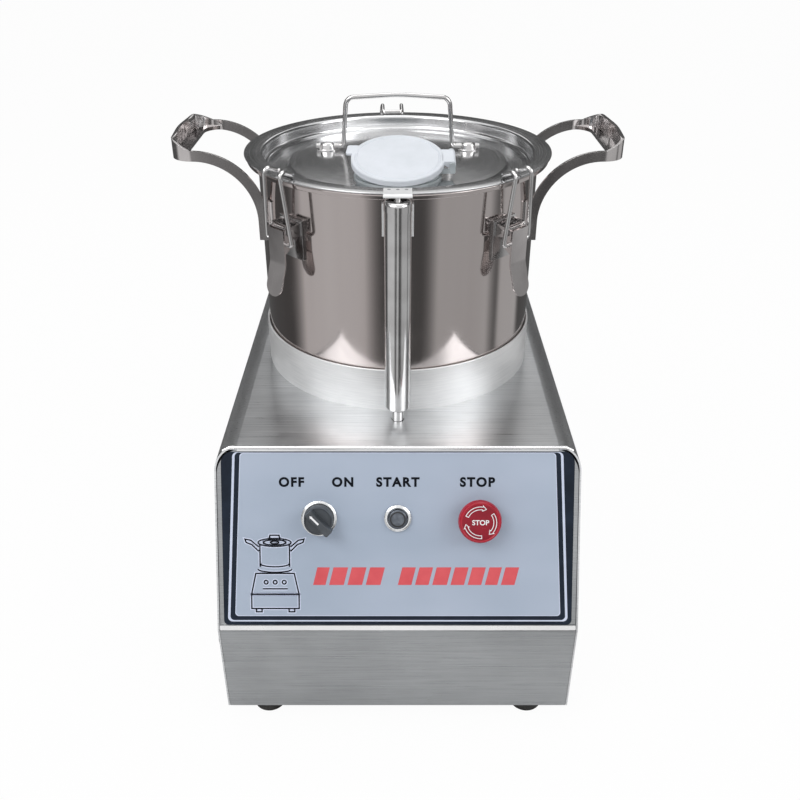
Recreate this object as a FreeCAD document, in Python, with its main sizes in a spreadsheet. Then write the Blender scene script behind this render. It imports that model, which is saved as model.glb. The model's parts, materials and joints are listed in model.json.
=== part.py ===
import FreeCAD, Part
import math
import os
import re
import Sketcher

os.makedirs("parts", exist_ok=True)
doc = FreeCAD.newDocument("BowlChopper")
Vector = FreeCAD.Vector

# Driving sizes of the bowl chopper in millimetres and degrees
DRIVING_SIZES = {
    # Housing of folded sheet steel, standing on four rubber feet
    "base_width": 320,
    "base_depth": 440,
    "housing_height": 248,
    "lower_panel_height": 97,
    "panel_setback": 69,
    "edge_radius": 20,
    "sheet": 1.5,
    "seam": 0.3,
    "lip_lap": 4.5,
    "floor_sheet": 2,
    "foot_height": 18,
    "foot_radius": 17,
    "foot_taper": 2,
    "foot_end_inset": 23,
    "foot_side_inset": 36,
    "foot_screw_radius": 3,
    # Air slots in both sides, the rear and the floor
    "slot_length": 70,
    "slot_height": 4,
    "slot_pitch": 12,
    "side_slot_behind_axis": 70,
    "side_slot_level": 58,
    "slot_count": 5,
    # Cable gland low on the left side
    "gland_behind_front": 62,
    "gland_level": 46,
    "gland_radius": 11,
    "gland_bore": 4.2,
    "gland_length": 20,
    # Control panel, measured up the slope from its lower lip
    "overlay_thickness": 0.6,
    "overlay_margin": 4.2,
    "control_height": 102,
    "selector_from_middle": 69,
    "stop_from_middle": 71,
    "bushing_radius": 11,
    "selector_bezel_radius": 15.8,
    "start_bezel_radius": 12,
    "stop_bezel_radius": 15,
    "bezel_height": 2.6,
    "bushing_depth": 12,
    "knob_radius": 12.6,
    "knob_base_height": 5,
    "knob_bar_height": 11,
    "knob_bar_width": 7.5,
    "knob_rest_angle": 45,
    "start_button_radius": 8.2,
    "start_travel": 2.5,
    "stop_button_radius": 19,
    "stop_button_height": 10,
    "stop_travel": 4,
    "stop_stem_radius": 6.5,
    "switch_body_size": 29,
    "switch_body_depth": 38,
    # Bowl, its seat collar and the locating tube in its middle
    "bowl_axis_y": 42,
    "bowl_radius": 130.5,
    "bowl_wall": 1.5,
    "bowl_floor": 2,
    "bowl_height": 206,
    "bowl_corner": 10,
    "rim_width": 10,
    "rim_bead": 2.4,
    "seat_gap": 0.4,
    "collar_height": 42,
    "collar_wall": 2,
    "collar_gap": 0.6,
    "centre_tube_radius": 23.2,
    "centre_tube_wall": 1.6,
    "centre_tube_height": 92,
    # Moving clearances
    "clearance": 0.5,
    "running_fit": 0.05,
    # Motor
    "motor_radius": 76,
    "motor_wall": 4,
    "motor_flange_radius": 88,
    "motor_flange_thickness": 8,
    "motor_length": 196,
    "end_bell_thickness": 9,
    "core_length": 84,
    "core_rise": 53.5,
    "rotor_radius": 42,
    "winding_height": 16,
    "shaft_radius": 12,
    "spindle_radius": 8,
    "bearing_radius": 23,
    "bearing_height": 13,
    "fan_radius": 52,
    "fan_height": 11,
    "fan_blade_count": 9,
    # Electric parts on the floor sheet
    "capacitor_radius": 21,
    "capacitor_height": 78,
    "capacitor_side_inset": 44,
    "capacitor_end_inset": 56,
    "terminal_radius": 8,
    "terminal_height": 7,
    "contactor_width": 46,
    "contactor_depth": 75,
    "contactor_height": 62,
    "contactor_side_inset": 30,
    "contactor_step_depth": 14,
    "contactor_step_level": 40,
    # Blade set
    "hub_wall": 4,
    "hub_cap_height": 14,
    "blade_reach": 123,
    "blade_thickness": 2.6,
    "lower_blade_level": 9,
    "upper_blade_level": 52,
    "blade_collar_height": 9,
    "blade_collar_width": 7,
    "blade_nut_height": 17,
    # Lid with its recess, stamped step and gasket
    "lid_radius": 142.8,
    "lid_sheet": 1.2,
    "lid_recess": 13,
    "recess_gap": 2.5,
    "lid_step": 2,
    "lid_step_radius": 102,
    "gasket_section": 3.2,
    "tab_width": 23.3,
    "tab_drop": 2.6,
    "tab_past_tube": 4.5,
    "tab_inset": 9,
    "tab_sheet": 1.4,
    # Feed port and its tilted cap
    "port_offset": 57,
    "port_radius": 37,
    "port_wall": 2.2,
    "port_rise": 14,
    "port_depth": 12,
    "port_tilt": 13.4,
    "cap_radius": 41.3,
    "cap_thickness": 3.2,
    "cap_skirt": 2.4,
    "cap_wall": 2.2,
    "pull_ear_width": 15,
    "pull_ear_reach": 5,
    "pull_ear_offset": 7,
    "hinge_ear_width": 22,
    "hinge_ear_offset": 3,
    "hinge_pin_radius": 1.6,
    "hinge_pin_out": 6.4,
    # Lid bail, hinged in two saddle clips
    "bail_offset": 32,
    "bail_span": 106,
    "bail_top_span": 98,
    "bail_height": 48,
    "bail_crown": 3,
    "bail_rod": 2.2,
    "bail_bend": 8,
    "bail_foot_length": 26,
    "clip_length": 21,
    "clip_foot": 4,
    "clip_sheet": 1.5,
    # Side handles
    "handle_reach": 204,
    "handle_half_length": 60,
    "handle_rise": 21,
    "handle_arm_rise": 13,
    "handle_depth": 9,
    "handle_strip": 3,
    "handle_web": 15,
    "handle_web_sheet": 3.5,
    "handle_bow": 5,
    "handle_bend": 54,
    "handle_corner": 20,
    "handle_foot_drop": 68,
    "handle_foot_depth": 9,
    "foot_pad_width": 15,
    "foot_pad_height": 34,
    "foot_pad_drop": 30,
    "foot_pad_sheet": 2,
    # Interlock tube in front of the bowl, and its plunger
    "tube_offset": 148,
    "tube_radius": 11.2,
    "tube_wall": 2,
    "tube_ground_gap": 10.6,
    "tube_foot_bevel": 3.6,
    "tube_foot_height": 6,
    "tube_top_drop": 3.9,
    "tube_cap_height": 8,
    "tube_cap_overhang": 0.4,
    "tube_bracket_width": 26,
    "tube_bracket_height": 27,
    "plunger_radius": 5.4,
    "plunger_tip_radius": 2.7,
    "plunger_reach": 3,
    "spring_rod": 0.8,
    "spring_radius": 6.9,
    "spring_turns": 12,
    # Three over-centre latches, two in front and one at the rear
    "latch_angle": 45,
    "rear_latch_turn": 2.5,
    "latch_pivot_radius": 141,
    "latch_pivot_drop": 43,
    "latch_pin_radius": 2,
    "hook_pivot_radius": 145,
    "hook_pivot_drop": 54,
    "hook_rod": 1.9,
    "hook_foot_span": 34,
    "hook_top_span": 20,
    "hook_shoulder_radius": 148.5,
    "hook_shoulder_rise": 9,
    "hook_tip_radius": 133,
    "lever_width": 21,
    "lever_sheet": 1.6,
    "lever_length": 58,
    "lever_standoff": 8,
    "lever_flare": 8,
    "latch_plate_width": 30,
    "latch_plate_height": 36,
    "latch_plate_sheet": 2,
    "latch_ear_sheet": 2,
}

# Places and sizes that follow from the driving ones
DERIVED_SIZES = {
    "front": "(-base_depth / 2)",
    "rear": "(base_depth / 2)",
    "cover_top": "(foot_height + housing_height)",
    "cover_under": "(cover_top - sheet)",
    "lip_level": "(foot_height + lower_panel_height)",
    "slope_rise": "(housing_height - lower_panel_height)",
    "slope_length": "sqrt(panel_setback^2 + slope_rise^2)",
    "slope_angle": "atan(slope_rise / panel_setback)",
    "inner_half_width": "(base_width / 2 - sheet - seam)",
    "floor_top": "(foot_height + floor_sheet)",
    "bowl_bottom": "(cover_top + seat_gap)",
    "bowl_rim": "(bowl_bottom + bowl_height)",
    "bowl_inside": "(bowl_radius - bowl_wall)",
    "floor_inside": "(bowl_bottom + bowl_floor)",
    "rim_radius": "(bowl_radius + rim_width)",
    "centre_tube_inside": "(centre_tube_radius - centre_tube_wall)",
    "centre_tube_top": "(bowl_bottom + centre_tube_height)",
    "spigot_radius": "(centre_tube_inside - clearance)",
    "spigot_top": "(centre_tube_top - 4)",
    "seal_level": "(spigot_top - 10)",
    "hub_inside": "(centre_tube_radius + clearance)",
    "hub_radius": "(hub_inside + hub_wall)",
    "hub_bottom": "(floor_inside + clearance)",
    "hub_cap_bottom": "(centre_tube_top + 6)",
    "hub_top": "(hub_cap_bottom + hub_cap_height)",
    "spindle_top": "(hub_top - 1)",
    "stack_radius": "(hub_radius + blade_collar_width * 0.8)",
    "motor_top": "(cover_under - motor_flange_thickness)",
    "motor_bottom": "(motor_top - motor_length)",
    "core_bottom": "(motor_bottom + core_rise)",
    "core_top": "(core_bottom + core_length)",
    "lid_under": "(bowl_rim + seat_gap)",
    "lid_top": "(lid_under + lid_sheet)",
    "plate_top": "(lid_top - lid_recess)",
    "step_top": "(plate_top + lid_step)",
    "recess_radius": "(bowl_inside - recess_gap)",
    "port_level": "(step_top + port_rise)",
    "hinge_level": "(cap_thickness - 3.4)",
    "bail_level": "(step_top + bail_rod + clip_sheet)",
    "handle_inside": "(bowl_radius * 0.9)",
    "handle_flare": "(handle_inside + handle_foot_depth + handle_bend + 2)",
    "handle_arm_top": "(bowl_rim + handle_arm_rise)",
    "tube_bottom": "(cover_top + tube_ground_gap)",
    "tube_top": "(lid_top - tube_top_drop)",
    "tab_under": "(lid_top + seam)",
    "tab_top": "(tab_under + tab_sheet)",
    "plunger_bottom": "(cover_top - plunger_reach)",
    "latch_level": "(bowl_rim - latch_pivot_drop)",
    "hook_level": "(bowl_rim - hook_pivot_drop)",
    "hook_tip_level": "(lid_top + hook_rod + clearance)",
}

sizes = doc.addObject("Spreadsheet::Sheet", "Sizes")
for row, (alias, amount) in enumerate(DRIVING_SIZES.items(), 1):
    sizes.set(f"A{row}", alias)
    sizes.set(f"B{row}", str(amount))
    sizes.setAlias(f"B{row}", alias)
doc.recompute()


def formula(text):
    """Write out a formula of size names as references to the sheet."""
    def reference(match):
        word = match.group(0)
        if word in DERIVED_SIZES:
            return "(" + formula(DERIVED_SIZES[word]) + ")"
        return "Sizes." + word if word in DRIVING_SIZES else word
    return re.sub(r"[a-z_]+", reference, str(text))


def value(text):
    """Work out a formula of size names as a plain number."""
    amount = sizes.evalExpression(formula(text))
    return float(getattr(amount, "Value", amount))


# Helpers for bodies, sketches and features
subparts = []


def new_body(label, keep=True):
    body = doc.addObject("PartDesign::Body", label)
    body.Label = label
    if keep:
        subparts.append(body)
    return body


def sketch_on(body, role, offset="0"):
    """Start a sketch on an origin plane of the body, moved along the plane's normal."""
    sketch = body.newObject("Sketcher::SketchObject", body.Name + "_sketch")
    plane = next(item for item in body.Origin.OriginFeatures if item.Role == role)
    sketch.AttachmentSupport = [(plane, "")]
    sketch.MapMode = "FlatFace"
    sketch.setExpression("AttachmentOffset.Base.z", formula(offset))
    return sketch


def fix_point(sketch, geometry, position, place):
    for axis, text in zip(("DistanceX", "DistanceY"), place):
        link = Sketcher.Constraint(axis, -1, 1, geometry, position, value(text))
        index = sketch.addConstraint(link)
        sketch.setExpression(f"Constraints[{index}]", formula(text))


def draw(sketch, corners, closed=True):
    """Draw straight stretches between corners (x, y), rounding a corner (x, y, radius)."""
    first = sketch.GeometryCount
    points = [Vector(value(corner[0]), value(corner[1]), 0) for corner in corners]
    count = len(points) if closed else len(points) - 1
    for index in range(count):
        ahead = points[(index + 1) % len(points)]
        sketch.addGeometry(Part.LineSegment(points[index], ahead), False)
    for index in range(count if closed else count - 1):
        following = first + (index + 1) % count
        sketch.addConstraint(Sketcher.Constraint("Coincident", first + index, 2, following, 1))
    for index in range(count):
        fix_point(sketch, first + index, 1, corners[index][:2])
    if not closed:
        fix_point(sketch, first + count - 1, 2, corners[-1][:2])
    for index, corner in enumerate(corners):
        if len(corner) == 3:
            round_corner(sketch, first, count, index, points, corner[2])
    return sketch


def round_corner(sketch, first, count, index, points, radius):
    before = first + (index - 1) % count
    after = first + index
    corner = points[index]
    reach = min(value(radius), 1.0) * 0.5
    towards_before = (points[index - 1] - corner).normalize()
    towards_after = (points[(index + 1) % len(points)] - corner).normalize()
    near_before = corner + towards_before * reach
    near_after = corner + towards_after * reach
    arc = sketch.GeometryCount
    sketch.fillet(before, after, near_before, near_after, value(radius), True, True)
    number = sketch.addConstraint(Sketcher.Constraint("Radius", arc, value(radius)))
    sketch.setExpression(f"Constraints[{number}]", formula(radius))


def draw_circle(sketch, x, y, radius):
    centre = Vector(value(x), value(y), 0)
    circle = sketch.addGeometry(Part.Circle(centre, Vector(0, 0, 1), value(radius)), False)
    number = sketch.addConstraint(Sketcher.Constraint("Radius", circle, value(radius)))
    sketch.setExpression(f"Constraints[{number}]", formula(radius))
    fix_point(sketch, circle, 3, (x, y))
    return sketch


def draw_box(sketch, left, right, bottom, top):
    return draw(sketch, [(left, bottom), (right, bottom), (right, top), (left, top)])


def pad(body, sketch, length, symmetric=False, backwards=False):
    feature = body.newObject("PartDesign::Pad", body.Name + "_pad")
    feature.Profile = sketch
    feature.setExpression("Length", formula(length))
    feature.SideType = "Symmetric" if symmetric else "One side"
    feature.Reversed = backwards
    sketch.Visibility = False
    return feature


def pocket(body, sketch, length=None, symmetric=False, backwards=False):
    """Cut a sketch into the body, through everything when no length is given."""
    feature = body.newObject("PartDesign::Pocket", body.Name + "_pocket")
    feature.Profile = sketch
    feature.SideType = "Symmetric" if symmetric else "One side"
    if length is None:
        feature.Type = "ThroughAll"
    else:
        feature.setExpression("Length", formula(length))
    feature.Reversed = backwards
    return feature


def revolve(body, sketch, axis="V_Axis"):
    feature = body.newObject("PartDesign::Revolution", body.Name + "_turned")
    feature.Profile = sketch
    feature.ReferenceAxis = (sketch, [axis])
    feature.Angle = 360
    return feature


def edges_where(feature, test):
    """Names of the feature's edges whose bounding box passes the test."""
    doc.recompute()
    edges = enumerate(feature.Shape.Edges, 1)
    return [f"Edge{number}" for number, edge in edges if test(edge.BoundBox)]


def dress(body, kind, feature, test, amount):
    """Round or bevel the edges of the body's last feature that pass the test."""
    dressed = body.newObject("PartDesign::" + kind, body.Name + "_" + kind.lower())
    dressed.Base = (feature, edges_where(feature, test))
    dressed.setExpression("Radius" if kind == "Fillet" else "Size", formula(amount))
    return dressed


def around(body, features, count, angle="360"):
    """Repeat features about the body's upright axis."""
    pattern = body.newObject("PartDesign::PolarPattern", body.Name + "_round")
    pattern.Originals = features
    pattern.Axis = (next(i for i in body.Origin.OriginFeatures if i.Role == "Z_Axis"), [""])
    pattern.Angle = value(angle)
    pattern.setExpression("Occurrences", formula(count))
    body.Tip = pattern
    return pattern


def along(body, features, role, length, count):
    """Repeat features along one of the body's axes."""
    pattern = body.newObject("PartDesign::LinearPattern", body.Name + "_row")
    pattern.Originals = features
    pattern.Direction = (next(i for i in body.Origin.OriginFeatures if i.Role == role), [""])
    pattern.setExpression("Length", formula(length))
    pattern.setExpression("Occurrences", formula(count))
    body.Tip = pattern
    return pattern


def place(item, x="0", y="0", z="0", axis=None, angle="0"):
    """Bind an object's place, and its turn about an axis in degrees."""
    if axis is not None:
        item.Placement = FreeCAD.Placement(Vector(), FreeCAD.Rotation(axis, 30))
        item.setExpression("Placement.Rotation.Angle", formula(angle))
    for letter, text in zip("xyz", (x, y, z)):
        item.setExpression("Placement.Base." + letter, formula(text))
    return item


def on_bowl_axis(item, angle=None):
    """Set an object on the upright axis of the bowl, turned about it."""
    if angle is None:
        return place(item, y="bowl_axis_y")
    return place(item, y="bowl_axis_y", axis=Vector(0, 0, 1), angle=angle)


def on_panel(item, across="0", up="0"):
    """Set an object on the sloped panel: across, up the slope, z out of the surface."""
    y = f"front + ({up}) * cos(slope_angle)"
    z = f"lip_level + ({up}) * sin(slope_angle)"
    return place(item, across, y, z, Vector(1, 0, 0), "slope_angle")


def gather(label, pieces):
    """Keep separate equal pieces together as one sub-part."""
    group = doc.addObject("Part::Compound", label)
    group.Label = label
    group.Links = pieces
    subparts.append(group)
    return group


def drum(name, x, y, bottom, radius, height):
    """An upright cylinder in millimetres of formula text."""
    item = doc.addObject("Part::Cylinder", name)
    item.setExpression("Radius", formula(radius))
    item.setExpression("Height", formula(height))
    return place(item, x, y, bottom)


def block(name, left, right, front_side, back_side, bottom, top):
    item = doc.addObject("Part::Box", name)
    item.setExpression("Length", formula(f"({right}) - ({left})"))
    item.setExpression("Width", formula(f"({back_side}) - ({front_side})"))
    item.setExpression("Height", formula(f"({top}) - ({bottom})"))
    return place(item, left, front_side, bottom)


def combine(label, kind, base, tool, keep=True):
    """Cut or fuse two objects; kind is Cut or Fuse."""
    item = doc.addObject("Part::" + kind, label)
    item.Label = label
    item.Base = base
    item.Tool = tool
    if keep:
        subparts.append(item)
    return item


def turned(label, corners, on_axis=True, keep=True):
    """A body of revolution about its upright axis from corners (radius, height)."""
    body = new_body(label, keep)
    revolve(body, draw(sketch_on(body, "XZ_Plane"), corners))
    if on_axis:
        on_bowl_axis(body)
    return body


def tube_profile(inner, outer, bottom, top):
    return [(inner, bottom), (outer, bottom), (outer, top), (inner, top)]


# Housing of folded sheet
def housing_shell():
    """Top and both sides folded from one sheet, with slots, lip and holes."""
    body = new_body("housing_shell")
    side = draw(sketch_on(body, "YZ_Plane"), [
        ("front", "foot_height"),
        ("rear", "foot_height"),
        ("rear", "cover_top"),
        ("front + panel_setback", "cover_top"),
        ("front", "lip_level"),
    ])
    prism = pad(body, side, "base_width", symmetric=True)
    rounded = dress(body, "Fillet", prism, lambda box: (
        box.YLength > value("base_depth / 2")
        and box.ZMin > value("cover_top") - 1), "edge_radius")
    doc.recompute()
    hollow = body.newObject("PartDesign::Thickness", "housing_hollow")
    hollow.Base = (rounded, open_faces(rounded.Shape))
    hollow.setExpression("Value", formula("sheet"))
    hollow.Reversed = True
    hollow.Join = 1
    lip = draw(sketch_on(body, "YZ_Plane"), lip_corners())
    pad(body, lip, "base_width - 2 * edge_radius", symmetric=True)
    holes = sketch_on(body, "XY_Plane", "cover_top - edge_radius")
    draw_circle(holes, "0", "bowl_axis_y", "spigot_radius + clearance")
    draw_circle(holes, "0", "bowl_axis_y - tube_offset", "plunger_radius + clearance")
    pocket(body, holes, backwards=True)
    gland = draw_circle(sketch_on(body, "YZ_Plane"),
                        "front + gland_behind_front", "gland_level", "gland_radius * 0.7")
    pocket(body, gland)
    slot = draw_slot(sketch_on(body, "YZ_Plane"),
                     "bowl_axis_y + side_slot_behind_axis", "side_slot_level")
    cut = pocket(body, slot, symmetric=True)
    along(body, [cut], "Z_Axis", "slot_pitch * (slot_count - 1)", "slot_count")
    return body


def open_faces(shape):
    """The flat faces of the solid housing that the sheet leaves open."""
    names = []
    for number, face in enumerate(shape.Faces, 1):
        normal = face.normalAt(0, 0)
        flat = face.Surface.TypeId == "Part::GeomPlane"
        if flat and (normal.z < -0.9 or abs(normal.y) > 0.3):
            names.append(f"Face{number}")
    return names


def lip_corners():
    """The cover's front edge, folded down over the top of the control panel."""
    top = ("front + panel_setback", "cover_top")
    down = "lip_lap"
    y = "front + panel_setback - ({}) * cos(slope_angle) + ({}) * sin(slope_angle)"
    z = "cover_top - ({}) * sin(slope_angle) - ({}) * cos(slope_angle)"
    return [
        top,
        (y.format(down, "0"), z.format(down, "0")),
        (y.format(down, "sheet"), z.format(down, "sheet")),
        (y.format("sheet", "sheet"), z.format("sheet", "sheet")),
        ("front + panel_setback + 3 * sheet", "cover_under"),
        ("front + panel_setback + 3 * sheet", "cover_top"),
    ]


def draw_slot(sketch, middle, level):
    """A flat air slot with rounded ends."""
    end = "slot_height * 0.49"
    return draw(sketch, [
        (f"{middle} - slot_length / 2", f"{level} - slot_height / 2", end),
        (f"{middle} + slot_length / 2", f"{level} - slot_height / 2", end),
        (f"{middle} + slot_length / 2", f"{level} + slot_height / 2", end),
        (f"{middle} - slot_length / 2", f"{level} + slot_height / 2", end),
    ])


def front_panel():
    """Lower front sheet, bent back at the lip to carry the control panel."""
    body = new_body("front_panel")
    lip_y = "front + ({}) * cos(slope_angle) + ({}) * sin(slope_angle)"
    lip_z = "lip_level + ({}) * sin(slope_angle) - ({}) * cos(slope_angle)"
    side = draw(sketch_on(body, "YZ_Plane"), [
        ("front", "foot_height"),
        ("front", "lip_level", "sheet * 2"),
        (lip_y.format("lip_lap", "0"), lip_z.format("lip_lap", "0")),
        (lip_y.format("lip_lap", "sheet"), lip_z.format("lip_lap", "sheet")),
        ("front + sheet", "lip_level - sheet * tan((90 deg - slope_angle) / 2)"),
        ("front + sheet", "foot_height"),
    ])
    pad(body, side, "2 * inner_half_width", symmetric=True)
    return body


def control_panel():
    """Sloped sheet that carries the switches, tucked under both lips."""
    body = new_body("control_panel")
    plate = sketch_on(body, "XY_Plane", "-sheet - seam")
    top = "slope_length - 2 * sheet"
    corner = "edge_radius / sin(slope_angle)"
    draw(plate, [
        ("-inner_half_width", "2 * sheet"),
        ("inner_half_width", "2 * sheet"),
        ("inner_half_width", top, corner),
        ("-inner_half_width", top, corner),
    ])
    draw_switch_holes(plate)
    pad(body, plate, "sheet", backwards=True)
    return on_panel(body)


def draw_switch_holes(sketch):
    for across in ("-selector_from_middle", "0", "stop_from_middle"):
        draw_circle(sketch, across, "control_height", "bushing_radius + seam")


def panel_overlay():
    """Printed film with rounded corners over the control panel."""
    body = new_body("panel_overlay")
    half = "(inner_half_width - overlay_margin)"
    top = "(slope_length - lip_lap - 2 * seam)"
    bottom = "(lip_lap + 2 * seam)"
    film = draw(sketch_on(body, "XY_Plane", "-sheet - seam"), [
        (f"-{half}", bottom, "overlay_margin"),
        (half, bottom, "overlay_margin"),
        (half, top, "edge_radius / 2"),
        (f"-{half}", top, "edge_radius / 2"),
    ])
    draw_switch_holes(film)
    pad(body, film, "overlay_thickness")
    return on_panel(body)


def rear_panel():
    """Flat rear sheet set into the shell, with rows of air slots."""
    body = new_body("rear_panel")
    corner = "edge_radius - sheet - seam"
    sheet = draw(sketch_on(body, "XZ_Plane", "-rear + sheet"), [
        ("-inner_half_width", "foot_height"),
        ("inner_half_width", "foot_height"),
        ("inner_half_width", "cover_under - seam", corner),
        ("-inner_half_width", "cover_under - seam", corner),
    ])
    pad(body, sheet, "sheet")
    slot = draw_slot(sketch_on(body, "XZ_Plane"), "0", "side_slot_level")
    cut = pocket(body, slot, symmetric=True)
    along(body, [cut], "Z_Axis", "slot_pitch * (slot_count - 1)", "slot_count")
    return body


def bottom_plate():
    """Floor sheet between the four walls, with air slots under the motor."""
    body = new_body("bottom_plate")
    sheet = sketch_on(body, "XY_Plane", "foot_height")
    draw_box(sheet, "-inner_half_width", "inner_half_width",
             "front + sheet + seam", "rear - 2 * sheet - seam")
    pad(body, sheet, "floor_sheet")
    first = "bowl_axis_y - slot_pitch * (slot_count - 1) / 2"
    slot = draw_slot(sketch_on(body, "XY_Plane", "foot_height"), "0", first)
    cut = pocket(body, slot, backwards=True)
    along(body, [cut], "Y_Axis", "slot_pitch * (slot_count - 1)", "slot_count")
    screws = sketch_on(body, "XY_Plane", "foot_height")
    for x, y in foot_places():
        draw_circle(screws, x, y, "foot_screw_radius + seam")
    pocket(body, screws, backwards=True)
    return body


def foot_places():
    x = "(base_width / 2 - foot_side_inset)"
    front_y = "(front + foot_end_inset)"
    rear_y = "(rear - foot_end_inset)"
    return [(f"-{x}", front_y), (x, front_y), (f"-{x}", rear_y), (x, rear_y)]


def feet():
    """Four tapered rubber feet, each with the pocket of its screw."""
    bored = "foot_screw_radius + seam"
    sunk = "2 * foot_screw_radius + seam"
    pieces = []
    for number, (x, y) in enumerate(foot_places(), 1):
        foot = turned(f"foot_{number}", [
            (sunk, "0"),
            ("foot_radius - foot_taper", "0", "1.5"),
            ("foot_radius", "foot_height"),
            (bored, "foot_height"),
            (bored, "foot_height / 2"),
            (sunk, "foot_height / 2"),
        ], on_axis=False, keep=False)
        pieces.append(place(foot, x, y))
    return gather("rubber_feet", pieces)


def foot_screws():
    """Screws that hold the feet, each with its nut on the floor sheet."""
    pieces = []
    head = "2 * foot_screw_radius"
    for number, (x, y) in enumerate(foot_places(), 1):
        screw = turned(f"foot_screw_{number}", [
            ("0", "foot_height / 2 - 4"),
            (head, "foot_height / 2 - 4", "1"),
            (head, "foot_height / 2"),
            ("foot_screw_radius", "foot_height / 2"),
            ("foot_screw_radius", "floor_top"),
            (head, "floor_top"),
            (head, "floor_top + 4"),
            ("0", "floor_top + 4"),
        ], on_axis=False, keep=False)
        pieces.append(place(screw, x, y))
    return gather("foot_screws", pieces)


def cable_gland():
    """Gland body, dome nut and lock nut about a bore through the left side."""
    body = new_body("cable_gland")
    revolve(body, draw(sketch_on(body, "XZ_Plane"), [
        ("gland_bore", "-gland_length * 0.4"),
        ("gland_radius", "-gland_length * 0.4"),
        ("gland_radius", "-sheet"),
        ("gland_radius * 0.65", "-sheet"),
        ("gland_radius * 0.65", "0"),
        ("gland_radius", "0"),
        ("gland_radius", "gland_length * 0.4"),
        ("gland_radius * 0.85", "gland_length * 0.4"),
        ("gland_radius * 0.85", "gland_length * 0.8", "3"),
        ("gland_bore", "gland_length * 0.8"),
    ]))
    return place(body, "-base_width / 2", "front + gland_behind_front", "gland_level",
                 Vector(0, 1, 0), "-90")


# Switches on the sloped panel
def bezel(label, across, radius, inside):
    """Turned ring on the overlay, with its threaded bushing through the panel."""
    surface = "(overlay_thickness - sheet - seam)"
    body = turned(label, [
        (inside, f"{surface} - bushing_depth"),
        ("bushing_radius", f"{surface} - bushing_depth"),
        ("bushing_radius", surface),
        (radius, surface),
        (radius, f"{surface} + bezel_height", "1.2"),
        (inside, f"{surface} + bezel_height"),
    ], on_axis=False)
    return on_panel(body, across, "control_height")


def switch_blocks():
    """Three equal contact blocks clipped to the rear of the bushings."""
    half = "switch_body_size / 2"
    top = "(overlay_thickness - sheet - seam - bushing_depth)"
    pieces = []
    for name, across in (("selector", "-selector_from_middle"), ("start", "0"), ("stop", "stop_from_middle")):
        body = new_body(f"block_{name}", keep=False)
        outline = draw_box(sketch_on(body, "XY_Plane", top), f"-{half}", half, f"-{half}", half)
        pad(body, outline, "switch_body_depth", backwards=True)
        pieces.append(on_panel(body, across, "control_height"))
    return gather("switch_blocks", pieces)


def selector_knob():
    """Round knob with a raised grip bar and its spindle in the bushing."""
    body = new_body("selector_knob")
    seat = "(overlay_thickness - sheet - seam + bezel_height + seam)"
    grip = f"({seat} + knob_base_height + knob_bar_height)"
    base = revolve(body, draw(sketch_on(body, "XZ_Plane"), [
        ("0", f"{seat} - bezel_height - 8"),
        ("bushing_radius - 5", f"{seat} - bezel_height - 8"),
        ("bushing_radius - 5", seat),
        ("knob_radius", seat),
        ("knob_radius - 0.8", f"{seat} + knob_base_height", "1.2"),
        ("0", f"{seat} + knob_base_height"),
    ]))
    bar = draw(sketch_on(body, "XY_Plane", f"{seat} + knob_base_height / 2"), [
        ("-knob_bar_width / 2", "-knob_radius + 0.6", "2"),
        ("knob_bar_width / 2", "-knob_radius + 0.6", "2"),
        ("knob_bar_width / 2", "knob_radius - 0.6", "2"),
        ("-knob_bar_width / 2", "knob_radius - 0.6", "2"),
    ])
    raised = pad(body, bar, "knob_bar_height + knob_base_height / 2")
    dress(body, "Fillet", raised, lambda box: box.ZMin > value(grip) - 0.1, "1.2")
    base.Refine = True
    outward = f"front + control_height * cos(slope_angle)"
    holder = place(body, "-selector_from_middle", outward,
                   "lip_level + control_height * sin(slope_angle)")
    turn_on_panel(holder, "knob_rest_angle")
    return body


def turn_on_panel(item, angle):
    """Turn an object about its own axis before it is laid on the slope."""
    lean = FreeCAD.Rotation(Vector(1, 0, 0), value("slope_angle"))
    spin = FreeCAD.Rotation(Vector(0, 0, 1), value(angle))
    item.Placement = FreeCAD.Placement(item.Placement.Base, lean.multiply(spin))


def start_button():
    """Domed push button with its stem inside the bezel."""
    seat = "(overlay_thickness - sheet - seam + bezel_height)"
    body = turned("start_button", [
        ("0", f"{seat} - 9"),
        ("start_button_radius", f"{seat} - 9"),
        ("start_button_radius", f"{seat} + start_travel + 0.4", "1.6"),
        ("0", f"{seat} + start_travel + 0.9"),
    ], on_axis=False)
    return on_panel(body, "0", "control_height")


def stop_stem():
    """Sliding stem of the emergency stop, with the neck that the head turns on."""
    seat = "(overlay_thickness - sheet - seam + bezel_height)"
    body = turned("stop_stem", [
        ("0", f"{seat} - 10"),
        ("stop_stem_radius", f"{seat} - 10"),
        ("stop_stem_radius", f"{seat} + stop_travel + 0.5"),
        ("stop_stem_radius - 3", f"{seat} + stop_travel + 0.5"),
        ("stop_stem_radius - 3", f"{seat} + stop_travel + 6"),
        ("0", f"{seat} + stop_travel + 6"),
    ], on_axis=False)
    return on_panel(body, "stop_from_middle", "control_height")


def stop_button():
    """Red mushroom head with a hollow underside over the stem's neck."""
    foot = "(overlay_thickness - sheet - seam + bezel_height + stop_travel + 0.8)"
    neck = "stop_stem_radius - 3 + clearance"
    body = turned("stop_button", [
        (neck, foot),
        ("stop_button_radius * 0.62", foot),
        ("stop_button_radius * 0.8", f"{foot} + 2.2", "3"),
        ("stop_button_radius", f"{foot} + 2.6", "1.6"),
        ("stop_button_radius", f"{foot} + stop_button_height * 0.62", "3"),
        ("stop_button_radius * 0.66", f"{foot} + stop_button_height", "9"),
        ("0", f"{foot} + stop_button_height"),
        ("0", f"{foot} + 6"),
        (neck, f"{foot} + 6"),
    ], on_axis=False)
    return on_panel(body, "stop_from_middle", "control_height")


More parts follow.
